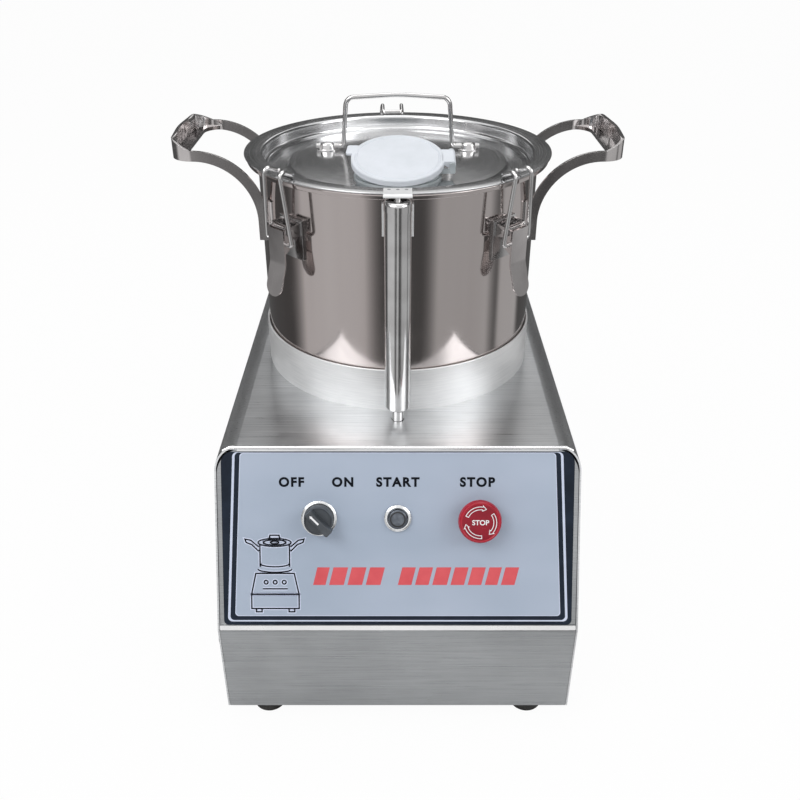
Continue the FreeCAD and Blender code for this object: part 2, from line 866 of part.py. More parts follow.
# Drive inside the housing
def motor_frame():
    """Motor shell with its lower end bell."""
    inside = "motor_radius - motor_wall"
    return turned("motor_frame", [
        ("shaft_radius + 2", "motor_bottom"),
        ("motor_radius", "motor_bottom", "6"),
        ("motor_radius", "motor_top"),
        (inside, "motor_top"),
        (inside, "motor_bottom + end_bell_thickness"),
        ("bearing_radius + 5", "motor_bottom + end_bell_thickness"),
        ("bearing_radius + 5", "motor_bottom + end_bell_thickness + bearing_height"),
        ("bearing_radius", "motor_bottom + end_bell_thickness + bearing_height"),
        ("bearing_radius", "motor_bottom + end_bell_thickness"),
        ("shaft_radius + 2", "motor_bottom + end_bell_thickness"),
    ])


def motor_flange():
    """Flange under the cover and the spigot that stands up through the bowl."""
    return turned("motor_flange", [
        ("bearing_radius", "motor_top - bearing_height"),
        ("bearing_radius + 5", "motor_top - bearing_height"),
        ("bearing_radius + 5", "motor_top"),
        ("motor_flange_radius", "motor_top"),
        ("motor_flange_radius", "cover_under"),
        ("spigot_radius", "cover_under"),
        ("spigot_radius", "spigot_top", "2"),
        ("spigot_radius - 4", "spigot_top"),
        ("spigot_radius - 4", "seal_level"),
        ("shaft_radius + 2", "seal_level"),
        ("shaft_radius + 2", "motor_top"),
        ("bearing_radius", "motor_top"),
    ])


def shaft_bearings():
    """Two equal shielded ball bearings, each drawn as one ring about the shaft."""
    pieces = []
    levels = {"lower": "motor_bottom + end_bell_thickness", "upper": "motor_top - bearing_height"}
    for name, bottom in levels.items():
        ring = tube_profile("shaft_radius + running_fit", "bearing_radius",
                            bottom, f"{bottom} + bearing_height")
        pieces.append(turned(f"bearing_{name}", ring, keep=False))
    return gather("shaft_bearings", pieces)


def stator():
    """Stator core, and the two winding heads on it."""
    inner = "rotor_radius + clearance"
    outer = "motor_radius - motor_wall"
    turned("stator_core", tube_profile(inner, outer, "core_bottom", "core_top"))
    heads = []
    for name, bottom in (("lower", "core_bottom - winding_height"), ("upper", "core_top")):
        middle = f"{bottom} + winding_height"
        heads.append(turned(f"winding_{name}", [
            (f"{inner} + 4", bottom, "5"),
            (f"{outer} - 4", bottom, "5"),
            (f"{outer} - 4", middle, "5"),
            (f"{inner} + 4", middle, "5"),
        ], keep=False))
    gather("stator_windings", heads)


def motor_shaft():
    """Stepped shaft from the lower bearing to the blade hub."""
    return turned("motor_shaft", [
        ("0", "motor_bottom + 2"),
        ("shaft_radius", "motor_bottom + 2"),
        ("shaft_radius", "seal_level - 2"),
        ("spindle_radius", "seal_level - 2"),
        ("spindle_radius", "spindle_top", "1.5"),
        ("0", "spindle_top"),
    ])


def shaft_seal():
    """Lip seal at the top of the spigot."""
    return turned("shaft_seal", tube_profile(
        "spindle_radius + running_fit", "spigot_radius - 4", "seal_level", "spigot_top - 2"))


def rotor_core():
    return turned("rotor_core", tube_profile("shaft_radius", "rotor_radius", "core_bottom", "core_top"))


def cooling_fan():
    """Radial fan on the shaft below the windings."""
    body = new_body("cooling_fan")
    bottom = "(motor_bottom + end_bell_thickness + bearing_height + 3)"
    disc = sketch_on(body, "XY_Plane", bottom)
    draw_circle(disc, "0", "0", "fan_radius")
    draw_circle(disc, "0", "0", "shaft_radius + running_fit")
    pad(body, disc, "2")
    vane = draw(sketch_on(body, "XY_Plane", bottom), [
        ("shaft_radius + 8", "-1"),
        ("fan_radius - 1", "-1"),
        ("fan_radius - 1", "1"),
        ("shaft_radius + 8", "1"),
    ])
    around(body, [pad(body, vane, "fan_height")], "fan_blade_count")
    hub = sketch_on(body, "XY_Plane", bottom)
    draw_circle(hub, "0", "0", "shaft_radius + 9")
    draw_circle(hub, "0", "0", "shaft_radius + running_fit")
    pad(body, hub, "fan_height")
    return on_bowl_axis(body)


def electric_parts():
    """Start capacitor and contactor, standing on the floor sheet."""
    x = "base_width / 2 - capacitor_side_inset"
    y = "rear - capacitor_end_inset"
    can = drum("capacitor_can", x, y, "floor_top", "capacitor_radius", "capacitor_height")
    terminal = drum("capacitor_terminal", x, y, "floor_top + capacitor_height",
                    "terminal_radius", "terminal_height")
    combine("start_capacitor", "Fuse", can, terminal)
    left = "(-base_width / 2 + contactor_side_inset)"
    near = "(front + gland_behind_front + gland_length)"
    case = block("contactor_case", left, f"{left} + contactor_width",
                 near, f"{near} + contactor_depth", "floor_top", "floor_top + contactor_height")
    step = block("contactor_step", f"{left} - 1", f"{left} + contactor_width + 1",
                 f"{near} - 1", f"{near} + contactor_step_depth",
                 "floor_top + contactor_step_level", "floor_top + contactor_height + 1")
    combine("contactor", "Cut", case, step)


def interlock_switch():
    """Small switch on a bracket under the cover, below the plunger."""
    y = "(bowl_axis_y - tube_offset)"
    leg = "plunger_radius + 4 * clearance"
    body = new_body("interlock_switch")
    side = draw(sketch_on(body, "XZ_Plane", f"-{y}"), [
        ("-16", "cover_under"),
        (f"-({leg})", "cover_under"),
        (f"-({leg})", "plunger_bottom - clearance"),
        (leg, "plunger_bottom - clearance"),
        (leg, "cover_under - 24"),
        ("-16", "cover_under - 24"),
    ])
    pad(body, side, "14", symmetric=True)
    return body


# Bowl and what is fixed to it
def seat_collar():
    """Ring on the cover that centres the bowl."""
    inner = "(bowl_radius + collar_gap)"
    return turned("seat_collar", [
        (inner, "cover_top"),
        (f"{inner} + collar_wall", "cover_top"),
        (f"{inner} + collar_wall", "cover_top + collar_height", "0.9"),
        (inner, "cover_top + collar_height", "0.9"),
    ])


def bowl():
    """Deep-drawn pot: centre tube, floor, wall and rolled rim in one skin."""
    return turned("bowl", [
        ("centre_tube_inside", "bowl_bottom"),
        ("bowl_radius", "bowl_bottom", "bowl_corner + bowl_wall"),
        ("bowl_radius", "bowl_rim - bowl_wall"),
        ("rim_radius - rim_bead", "bowl_rim - bowl_wall"),
        ("rim_radius - rim_bead", "bowl_rim - 2 * rim_bead", "0.8"),
        ("rim_radius", "bowl_rim - 2 * rim_bead", "0.8"),
        ("rim_radius", "bowl_rim", "rim_bead * 0.7"),
        ("bowl_inside", "bowl_rim", "1.4"),
        ("bowl_inside", "floor_inside", "bowl_corner"),
        ("centre_tube_radius", "floor_inside"),
        ("centre_tube_radius", "centre_tube_top", "0.7"),
        ("centre_tube_inside", "centre_tube_top", "0.7"),
    ])


def handle(label, angle):
    """Bent strip handle: a loop in plan, swept up from the wall in side view."""
    body = new_body(label)
    inner_half = "(handle_half_length - handle_strip)"
    near_wall = "bowl_radius * 0.8"
    plan = sketch_on(body, "XY_Plane", "bowl_rim - handle_foot_drop")
    draw(plan, [
        (near_wall, "-handle_half_length"),
        ("handle_reach - handle_bow", "-handle_half_length", "handle_corner"),
        ("handle_reach", "0", "handle_half_length * 3"),
        ("handle_reach - handle_bow", "handle_half_length", "handle_corner"),
        (near_wall, "handle_half_length"),
        (near_wall, inner_half),
        ("handle_reach - handle_web", inner_half, "handle_corner - handle_strip"),
        ("handle_reach - handle_web", f"-{inner_half}", "handle_corner - handle_strip"),
        (near_wall, f"-{inner_half}"),
    ])
    pad(body, plan, "handle_foot_drop + handle_rise + 2")
    strip_outside(body)
    strip_inside(body)
    grip_well(body, inner_half)
    foot_pads(body)
    wall = sketch_on(body, "XY_Plane", "bowl_rim - handle_foot_drop - 1")
    draw_circle(wall, "0", "0", "bowl_radius + running_fit")
    pocket(body, wall, backwards=True)
    return on_bowl_axis(body, angle)


def strip_outside(body):
    """Cut away what lies above and inside the strip's upper curve, up to the flared end."""
    low = "bowl_rim - handle_foot_drop - 5"
    top = "bowl_rim + handle_rise"
    pocket(body, draw(sketch_on(body, "XZ_Plane"), [
        ("0", low),
        ("handle_inside", low),
        ("handle_inside", "handle_arm_top", "handle_bend + handle_foot_depth"),
        ("handle_flare", "handle_arm_top"),
        ("handle_reach - handle_bow", top),
        ("handle_reach + 5", top),
        ("handle_reach + 5", f"{top} + 20"),
        ("0", f"{top} + 20"),
    ]), symmetric=True)


def strip_inside(body):
    """Cut away what lies below and outside the strip's lower curve."""
    outer_x = "handle_inside + handle_foot_depth"
    low = "bowl_rim - handle_foot_drop - 5"
    pocket(body, draw(sketch_on(body, "XZ_Plane"), [
        (outer_x, low),
        (outer_x, "handle_arm_top - handle_depth", "handle_bend"),
        ("handle_reach + 5", "handle_arm_top - handle_depth"),
        ("handle_reach + 5", low),
    ]), symmetric=True)


def grip_well(body, inner_half):
    """Hollow the grip from above and inside, leaving an outer wall and a floor."""
    well = sketch_on(body, "XY_Plane", "handle_arm_top - handle_depth + handle_web_sheet")
    side_x = "handle_reach - handle_bow - handle_strip"
    rounding = "handle_corner - handle_strip"
    draw(well, [
        ("handle_reach - 2 * handle_web", f"-{inner_half}"),
        (side_x, f"-{inner_half}", rounding),
        ("handle_reach - handle_strip", "0", "handle_half_length * 3"),
        (side_x, inner_half, rounding),
        ("handle_reach - 2 * handle_web", inner_half),
    ])
    pocket(body, well, backwards=True)


def foot_pads(body):
    """Welded pads that spread both feet of the strip on the wall."""
    reach = "(handle_half_length + foot_pad_width / 2)"
    near = "(handle_half_length - handle_strip - foot_pad_width / 2)"
    bottom = "bowl_rim - foot_pad_drop - foot_pad_height"
    outer = "(bowl_radius + foot_pad_sheet)"
    for side in ("", "-"):
        sketch = sketch_on(body, "XY_Plane", bottom)
        draw(sketch, pad_corners(side, near, reach, outer))
        pad(body, sketch, "foot_pad_height")
    return body


def pad_corners(side, near, reach, outer):
    inner = "(bowl_radius + running_fit)"
    def on_circle(radius, y):
        return (f"sqrt({radius}^2 - {y}^2)", f"{side}{y}")
    middle = f"(({near} + {reach}) / 2)"
    return [
        on_circle(inner, near),
        on_circle(outer, near),
        on_circle(outer, middle),
        on_circle(outer, reach),
        on_circle(inner, reach),
        on_circle(inner, middle),
    ]


def interlock_tube():
    """Tube in front of the bowl: bevelled foot, and a cap notched for the rim."""
    body = new_body("interlock_tube")
    inner = "(tube_radius - tube_wall)"
    bored = "(plunger_radius + clearance)"
    revolve(body, draw(sketch_on(body, "XZ_Plane"), [
        (bored, "tube_bottom"),
        ("tube_radius - tube_foot_bevel", "tube_bottom"),
        ("tube_radius", "tube_bottom + tube_foot_bevel"),
        ("tube_radius", "tube_top - tube_cap_height"),
        ("tube_radius + tube_cap_overhang", "tube_top - tube_cap_height"),
        ("tube_radius + tube_cap_overhang", "tube_top", "3"),
        (bored, "tube_top"),
        (bored, "tube_top - tube_cap_height"),
        (inner, "tube_top - tube_cap_height"),
        (inner, "tube_bottom + tube_foot_height"),
        (bored, "tube_bottom + tube_foot_height"),
    ]))
    rim_side = sketch_on(body, "XY_Plane", "bowl_rim - 2 * rim_bead - clearance")
    draw_circle(rim_side, "0", "tube_offset", "rim_radius + clearance")
    pocket(body, rim_side, backwards=True)
    return place(body, y="bowl_axis_y - tube_offset")


def tube_bracket():
    """Block between the wall and the tube, hollowed to both."""
    top = "(bowl_rim - 7)"
    body = new_body("tube_bracket")
    sketch = sketch_on(body, "XY_Plane", f"{top} - tube_bracket_height")
    half = "tube_bracket_width / 2"
    draw_box(sketch, f"-{half}", half, "-tube_offset + tube_radius * 0.35", "-bowl_radius * 0.97")
    pad(body, sketch, "tube_bracket_height")
    bowl_side = draw_circle(sketch_on(body, "XY_Plane"), "0", "0", "bowl_radius + running_fit")
    pocket(body, bowl_side, backwards=True)
    tube_side = draw_circle(sketch_on(body, "XY_Plane"), "0", "-tube_offset", "tube_radius + running_fit")
    pocket(body, tube_side, backwards=True)
    cap_side = draw_circle(sketch_on(body, "XY_Plane", "tube_top - tube_cap_height - seam"),
                           "0", "-tube_offset", "tube_radius + tube_cap_overhang + seam")
    pocket(body, cap_side, backwards=True)
    return on_bowl_axis(body)


def plunger():
    """Rod that the lid's tab holds down onto the switch in the base."""
    shoulder = "tube_top - tube_cap_height - 8"
    body = turned("interlock_plunger", [
        ("0", "plunger_bottom"),
        ("plunger_radius", "plunger_bottom", "1.5"),
        ("plunger_radius", shoulder),
        ("spring_radius + 0.6", shoulder),
        ("spring_radius + 0.6", f"{shoulder} + 2"),
        ("plunger_radius", f"{shoulder} + 2"),
        ("plunger_radius", "tube_top"),
        ("plunger_tip_radius", "tube_top"),
        ("plunger_tip_radius", "tab_under - seam", "0.8"),
        ("0", "tab_under - seam"),
    ], on_axis=False)
    return place(body, y="bowl_axis_y - tube_offset")


def plunger_spring():
    """Return spring about the rod, standing on the foot of the tube."""
    bottom = value("tube_bottom + tube_foot_height + spring_rod")
    top = value("tube_top - tube_cap_height - 8 - spring_rod - clearance")
    radius = value("spring_radius")
    pitch = (top - bottom) / value("spring_turns")
    helix = Part.makeHelix(pitch, top - bottom, radius)
    ring = Part.Wire(Part.makeCircle(value("spring_rod"), Vector(radius, 0, 0), Vector(0, 1, 0)))
    shape = Part.Wire(helix).makePipeShell([ring], True, True)
    spring = doc.addObject("Part::Feature", "plunger_spring")
    spring.Label = "plunger_spring"
    spring.Shape = shape
    spring.Placement = FreeCAD.Placement(
        Vector(0, value("bowl_axis_y - tube_offset"), bottom), FreeCAD.Rotation())
    subparts.append(spring)
    return spring


# Latches, drawn on the positive X side and turned about the bowl's axis
LATCH_PLACES = {
    "front_left": "180 + latch_angle",
    "front_right": "-latch_angle",
    "rear": "90 + rear_latch_turn",
}


def latch_mount(place_name, angle):
    """Plate on the wall with two ears and the hinge pin between them."""
    body = new_body(f"latch_mount_{place_name}", keep=False)
    half = "latch_plate_width / 2"
    top = "latch_level + 8"
    plate = sketch_on(body, "XY_Plane", f"{top} - latch_plate_height")
    wall = "(bowl_radius + running_fit)"
    outer = "(bowl_radius + latch_plate_sheet)"
    draw(plate, [
        (f"sqrt({wall}^2 - ({half})^2)", f"-{half}"),
        (f"sqrt({outer}^2 - ({half})^2)", f"-{half}"),
        (outer, "-lever_width / 4"),
        (outer, "lever_width / 4"),
        (f"sqrt({outer}^2 - ({half})^2)", half),
        (f"sqrt({wall}^2 - ({half})^2)", half),
        (wall, "lever_width / 4"),
        (wall, "-lever_width / 4"),
    ])
    pad(body, plate, "latch_plate_height")
    ear_inside = "(lever_width / 2 + clearance)"
    for side in (1, -1):
        ear = draw(sketch_on(body, "XZ_Plane", f"{side} * {ear_inside}"), [
            ("bowl_radius + 0.4", "latch_level - 6"),
            ("latch_pivot_radius + 4", "latch_level - 4", "3.5"),
            ("latch_pivot_radius + 4", "latch_level + 4", "3.5"),
            ("bowl_radius + 0.4", "latch_level + 6"),
        ])
        pad(body, ear, "latch_ear_sheet", backwards=side < 0)
    pin = draw_circle(sketch_on(body, "XZ_Plane"), "latch_pivot_radius", "latch_level", "latch_pin_radius")
    pad(body, pin, "lever_width + 2 * clearance + 2 * latch_ear_sheet + 1.6", symmetric=True)
    return on_bowl_axis(body, angle)


def latch_lever(place_name, angle):
    """Sheet lever rolled about the pin, with cheeks for the hook's feet."""
    body = new_body(f"latch_lever_{place_name}")
    knuckle = "(latch_pin_radius + running_fit + lever_sheet)"
    outside = "latch_pivot_radius + lever_standoff"
    end_level = "(latch_level - lever_length)"
    roll = draw_circle(sketch_on(body, "XZ_Plane"), "latch_pivot_radius", "latch_level", knuckle)
    pad(body, roll, "lever_width", symmetric=True)
    strip = draw(sketch_on(body, "XZ_Plane"), [
        (f"{outside} - lever_sheet", "latch_level + 2"),
        (f"{outside}", "latch_level + 2"),
        (f"{outside}", "latch_level - lever_length * 0.5", "14"),
        (f"{outside} + lever_flare", end_level),
        (f"{outside} + lever_flare - lever_sheet", end_level),
        (f"{outside} - lever_sheet", "latch_level - lever_length * 0.5", "14"),
    ])
    pad(body, strip, "lever_width", symmetric=True)
    round_lever_end(body, end_level)
    for side in (1, -1):
        cheek = draw(sketch_on(body, "XZ_Plane", f"{side} * (lever_width / 2 - lever_sheet)"), [
            (f"{outside} - lever_sheet / 2", "latch_level + 2"),
            (f"{outside} - lever_sheet / 2", "hook_level - 9"),
            ("hook_pivot_radius - 4", "hook_level - 4", "3"),
            ("latch_pivot_radius - 3", "latch_level - 3", "2"),
            ("latch_pivot_radius - 2", "latch_level + 3", "1"),
        ])
        pad(body, cheek, "lever_sheet", backwards=side < 0)
    bore = draw_circle(sketch_on(body, "XZ_Plane"), "latch_pivot_radius", "latch_level",
                       "latch_pin_radius + running_fit")
    pocket(body, bore, symmetric=True)
    eye = draw_circle(sketch_on(body, "XZ_Plane"), "hook_pivot_radius", "hook_level",
                      "hook_rod + running_fit")
    pocket(body, eye, symmetric=True)
    return on_bowl_axis(body, angle)


def round_lever_end(body, end_level):
    """Cut both corners of the lever's free end to a full round."""
    half = "(lever_width / 2 + running_fit)"
    start = f"{end_level} + {half}"
    waste = draw(sketch_on(body, "YZ_Plane"), [
        (f"-2 * {half}", f"{end_level} - 3"),
        (f"2 * {half}", f"{end_level} - 3"),
        (f"2 * {half}", start),
        (half, start),
        (half, end_level, "lever_width * 0.47"),
        (f"-{half}", end_level, "lever_width * 0.47"),
        (f"-{half}", start),
        (f"-2 * {half}", start),
    ])
    pocket(body, waste, backwards=True)


def bent_rod(points, bends, radius):
    """A round rod along straight runs joined by tangent bends."""
    edges = []
    start = points[0]
    for before, corner, after, bend in zip(points, points[1:], points[2:], bends):
        inward = (before - corner).normalize()
        outward = (after - corner).normalize()
        turn = math.pi - inward.getAngle(outward)
        reach = bend * math.tan(turn / 2)
        first = corner + inward * reach
        last = corner + outward * reach
        centre_line = (inward + outward).normalize()
        middle = corner + centre_line * (bend / math.cos(turn / 2) - bend)
        edges.append(Part.LineSegment(start, first).toShape())
        edges.append(Part.Arc(first, middle, last).toShape())
        start = last
    edges.append(Part.LineSegment(start, points[-1]).toShape())
    path = Part.Wire(edges)
    ring = Part.Wire(Part.makeCircle(radius, points[0], points[1] - points[0]))
    return path.makePipeShell([ring], True, False)


def latch_hook(place_name, angle):
    """Wire loop from the lever's eyes up and over the lid's flange."""
    foot = value("hook_foot_span") / 2
    head = value("hook_top_span") / 2
    pivot_x = value("hook_pivot_radius")
    low = value("hook_level")
    shoulder_x = value("hook_shoulder_radius")
    shoulder_z = value("lid_top + hook_shoulder_rise")
    tip_x = value("hook_tip_radius")
    tip_z = value("hook_tip_level")
    inside = value("lever_width / 2 - lever_sheet - 1")
    half = [
        Vector(pivot_x, inside, low),
        Vector(pivot_x, foot, low),
        Vector(shoulder_x, head, shoulder_z),
        Vector(tip_x, head, tip_z),
    ]
    other = [Vector(point.x, -point.y, point.z) for point in reversed(half)]
    rod = value("hook_rod")
    bends = [rod * 1.6, 4, rod * 1.6, rod * 1.6, 4, rod * 1.6]
    hook = doc.addObject("Part::Feature", f"latch_hook_{place_name}")
    hook.Label = f"latch_hook_{place_name}"
    hook.Shape = bent_rod(half + other, bends, rod)
    subparts.append(hook)
    return on_bowl_axis(hook, angle)


# Lid and what rides on it
def lid():
    """Lid pressed from one sheet: flange, recess wall, plate and raised step."""
    body = turned("lid", [
        ("0", "step_top - lid_sheet"),
        ("lid_step_radius - lid_sheet", "step_top - lid_sheet", "1"),
        ("lid_step_radius + lid_step - lid_sheet", "plate_top - lid_sheet", "1"),
        ("recess_radius", "plate_top - lid_sheet", "4 + lid_sheet"),
        ("recess_radius", "lid_under", "1.6"),
        ("lid_radius - 0.9", "lid_under", "0.3"),
        ("lid_radius", "lid_under + 0.4"),
        ("lid_radius", "lid_top", "0.5"),
        ("recess_radius - lid_sheet", "lid_top", "1.6 + lid_sheet"),
        ("recess_radius - lid_sheet", "plate_top", "4"),
        ("lid_step_radius + lid_step", "plate_top", "1"),
        ("lid_step_radius", "step_top", "1"),
        ("0", "step_top"),
    ])
    port = draw_circle(sketch_on(body, "XY_Plane"), "0", "-port_offset", "port_radius + seam")
    pocket(body, port, backwards=True)
    return body


def lid_gasket():
    """Soft ring under the plate's corner, against the wall of the bowl."""
    inner = "(recess_radius + 0.1)"
    return turned("lid_gasket", [
        (inner, "lid_under - 1 - gasket_section"),
        ("bowl_inside - clearance", "lid_under - 1 - gasket_section"),
        ("bowl_inside - clearance", "lid_under - 2.2"),
        (inner, "lid_under - 2.2"),
    ])


def lid_tab():
    """Folded strip on the front of the flange that presses the plunger."""
    body = new_body("lid_tab")
    inner = "-(lid_radius - tab_inset)"
    outer = "-(tube_offset + tab_past_tube)"
    side = draw(sketch_on(body, "YZ_Plane"), [
        (inner, "lid_top"),
        (inner, "tab_top"),
        (outer, "tab_top", "tab_sheet * 1.5"),
        (outer, "tab_top - tab_drop"),
        (f"{outer} + tab_sheet", "tab_top - tab_drop"),
        (f"{outer} + tab_sheet", "tab_under", "tab_sheet * 0.5"),
        ("-lid_radius", "tab_under"),
        ("-lid_radius", "lid_top"),
    ])
    pad(body, side, "tab_width", symmetric=True)
    return on_bowl_axis(body)


def feed_port():
    """Plastic port through the plate, its top sloped towards the front."""
    outer = drum("port_outer", "0", "0", "0", "port_radius", "port_depth + 2 * port_rise")
    rim = drum("port_rim", "0", "0", "port_depth", "port_radius + 2", "2")
    wall = combine("port_wall_solid", "Fuse", outer, rim, keep=False)
    inner = drum("port_inner", "0", "0", "-1", "port_radius - port_wall", "port_depth + 2 * port_rise + 2")
    tube = combine("port_tube", "Cut", wall, inner, keep=False)
    slope = doc.addObject("Part::Box", "port_slope")
    for side in ("Length", "Width"):
        slope.setExpression(side, formula("4 * port_radius"))
    slope.setExpression("Height", formula("2 * port_rise + port_radius"))
    place(slope, "-2 * port_radius", "-2 * port_radius * cos(port_tilt * 1 deg)",
          "port_depth + port_rise - 2 * port_radius * sin(port_tilt * 1 deg)", Vector(1, 0, 0), "port_tilt")
    port = combine("feed_port", "Cut", tube, slope)
    return place(port, y="bowl_axis_y - port_offset", z="step_top - port_depth")


def feed_cap():
    """Round lid of the port: a disc with a skirt, a pull ear and a hinge ear."""
    body = new_body("feed_cap")
    revolve(body, draw(sketch_on(body, "XZ_Plane"), [
        ("0", "seam"),
        ("cap_radius - cap_wall", "seam"),
        ("cap_radius - cap_wall", "-cap_skirt"),
        ("cap_radius", "-cap_skirt"),
        ("cap_radius", "cap_thickness", "1.6"),
        ("0", "cap_thickness"),
    ]))
    pull_end = "(-cap_radius - pull_ear_reach)"
    pull = draw(sketch_on(body, "XY_Plane", "seam"), [
        ("-cap_radius * 0.88", "pull_ear_offset"),
        ("-cap_radius * 0.88", "pull_ear_offset + pull_ear_width"),
        (pull_end, "pull_ear_offset + pull_ear_width", "2"),
        (pull_end, "pull_ear_offset", "2"),
    ])
    pad(body, pull, "cap_thickness - seam")
    end = "(cap_radius + hinge_pin_out + 3.2)"
    ear = draw(sketch_on(body, "XZ_Plane", "-hinge_ear_offset"), [
        ("cap_radius - 3", "cap_thickness - 2.4"),
        ("cap_radius + hinge_pin_out - 3.6", "hinge_level - 2.8", "2.4"),
        (end, "hinge_level - 2.8", "2.4"),
        (end, "cap_thickness", "2.4"),
        ("cap_radius - 3", "cap_thickness"),
    ])
    pad(body, ear, "hinge_ear_width", symmetric=True)
    bore = draw_circle(sketch_on(body, "XZ_Plane"), "cap_radius + hinge_pin_out", "hinge_level",
                       "hinge_pin_radius + running_fit")
    pocket(body, bore, symmetric=True)
    return place_on_port(body)


def place_on_port(body):
    return place(body, "0", "bowl_axis_y - port_offset", "port_level", Vector(1, 0, 0), "port_tilt")


def cap_hinge():
    """Two cheeks on the side of the port, with the pin for the cap's ear."""
    body = new_body("cap_hinge_solid", keep=False)
    pin_x = "(cap_radius + hinge_pin_out)"
    apart = "(hinge_ear_width / 2 + clearance)"
    for side in (1, -1):
        cheek = draw(sketch_on(body, "XZ_Plane", f"-hinge_ear_offset + {side} * {apart}"), [
            ("port_radius * 0.8", "-cap_skirt - 5"),
            (f"{pin_x} + 2.8", "-cap_skirt - 5", "2"),
            (f"{pin_x} + 2.8", "hinge_level + 2.8", "2.6"),
            (f"{pin_x} - 2.8", "hinge_level + 2.8", "2.6"),
            (f"{pin_x} - 2.8", "-cap_skirt - 1", "1"),
            ("port_radius * 0.8", "-cap_skirt - 1"),
        ])
        pad(body, cheek, "2", backwards=side < 0)
    pin = draw_circle(sketch_on(body, "XZ_Plane", "-hinge_ear_offset"), pin_x, "hinge_level", "hinge_pin_radius")
    pad(body, pin, f"2 * {apart} + 4", symmetric=True)
    place_on_port(body)
    wall = drum("cap_hinge_wall", "0", "bowl_axis_y - port_offset", "step_top",
                "port_radius + running_fit", "port_rise * 3")
    return combine("cap_hinge", "Cut", body, wall)


def lid_bail():
    """Wire handle of the lid, with its feet turned out into the clips."""
    foot = value("bail_span") / 2
    head = value("bail_top_span") / 2
    low = 0
    high = value("bail_height")
    reach = foot + value("bail_foot_length")
    crown = value("bail_crown")
    points = [
        Vector(-reach, 0, low),
        Vector(-foot, 0, low),
        Vector(-head, 0, high - crown),
        Vector(0, 0, high),
        Vector(head, 0, high - crown),
        Vector(foot, 0, low),
        Vector(reach, 0, low),
    ]
    bend = value("bail_bend")
    bends = [value("bail_rod") * 1.8, bend, bend * 20, bend, value("bail_rod") * 1.8]
    bail = doc.addObject("Part::Feature", "lid_bail")
    bail.Label = "lid_bail"
    bail.Shape = bent_rod(points, bends, value("bail_rod"))
    subparts.append(bail)
    return place(bail, "0", "bowl_axis_y + bail_offset", "bail_level")


def bail_clips():
    """Two domed saddle clips welded to the plate over the bail's feet."""
    pieces = []
    for name, side in (("left", "-1"), ("right", "1")):
        body = new_body(f"bail_clip_{name}", keep=False)
        outer = "(bail_rod + clearance + clip_sheet)"
        arch = draw(sketch_on(body, "YZ_Plane"), [
            (f"-{outer} - clip_foot", "-bail_rod - clip_sheet"),
            (f"{outer} + clip_foot", "-bail_rod - clip_sheet"),
            (f"{outer} + clip_foot", "-bail_rod"),
            (outer, "-bail_rod", "1"),
            (outer, outer, "bail_rod + clip_sheet"),
            (f"-{outer}", outer, "bail_rod + clip_sheet"),
            (f"-{outer}", "-bail_rod", "1"),
            (f"-{outer} - clip_foot", "-bail_rod"),
        ])
        pad(body, arch, "clip_length", symmetric=True)
        bore = draw_circle(sketch_on(body, "YZ_Plane"), "0", "0", "bail_rod + running_fit")
        pocket(body, bore, symmetric=True)
        middle = f"{side} * (bail_span / 2 + bail_foot_length - clip_length / 2)"
        pieces.append(place(body, middle, "bowl_axis_y + bail_offset", "bail_level"))
    return gather("bail_clips", pieces)


# Blade set
def blade_hub():
    """Sleeve that drops over the bowl's centre tube and onto the spindle."""
    return turned("blade_hub", [
        ("hub_inside", "hub_bottom"),
        ("hub_radius + blade_collar_width / 2", "hub_bottom", "1"),
        ("hub_radius + blade_collar_width / 2", "floor_inside + lower_blade_level"),
        ("hub_radius", "floor_inside + lower_blade_level"),
        ("hub_radius", "hub_top - 4", "2"),
        ("hub_radius - 4", "hub_top", "1"),
        ("spindle_radius + running_fit", "hub_top"),
        ("spindle_radius + running_fit", "hub_cap_bottom"),
        ("hub_inside", "hub_cap_bottom"),
    ])


def blade_pair(label, bottom, angle):
    """Two sickle blades on one clamping ring, bevelled along the cutting edge."""
    body = new_body(label)
    ring = sketch_on(body, "XY_Plane", bottom)
    draw_circle(ring, "0", "0", "hub_radius + blade_collar_width")
    draw_circle(ring, "0", "0", "hub_radius + running_fit")
    pad(body, ring, "blade_collar_height")
    ring_edge = "(hub_radius + blade_collar_width * 0.6)"
    blade = draw(sketch_on(body, "XY_Plane", bottom), [
        (ring_edge, "-14"),
        ("blade_reach * 0.55", "-27", "blade_reach * 0.34"),
        ("blade_reach * 0.97", "4", "blade_reach * 0.35"),
        ("blade_reach * 0.94", "blade_reach * 0.32", "3"),
        ("blade_reach * 0.62", "6", "blade_reach * 0.45"),
        (ring_edge, "16"),
    ])
    flat = pad(body, blade, "blade_thickness")
    around(body, [flat], "2")
    return on_bowl_axis(body, angle)


def blade_nut():
    """Knob that clamps the stack of blade rings and spacers on the hub."""
    return turned("blade_nut", [
        ("0", "hub_top + seam"),
        ("stack_radius", "hub_top + seam"),
        ("stack_radius", "hub_top + 4", "1"),
        ("hub_radius - 3", "hub_top + 6", "2"),
        ("hub_radius - 5", "hub_top + blade_nut_height", "5"),
        ("0", "hub_top + blade_nut_height"),
    ])


def blade_spacers():
    """Sleeves between the two blade rings and up to the nut."""
    lower_ring_top = "(floor_inside + lower_blade_level + blade_collar_height)"
    upper_ring = "(floor_inside + upper_blade_level)"
    sleeves = []
    for name, bottom, top in (
        ("lower", lower_ring_top, upper_ring),
        ("upper", f"{upper_ring} + blade_collar_height", "hub_top + seam"),
    ):
        sleeve = tube_profile("hub_radius + running_fit", "stack_radius", bottom, top)
        sleeves.append(turned(f"spacer_{name}", sleeve, keep=False))
    return gather("blade_spacers", sleeves)


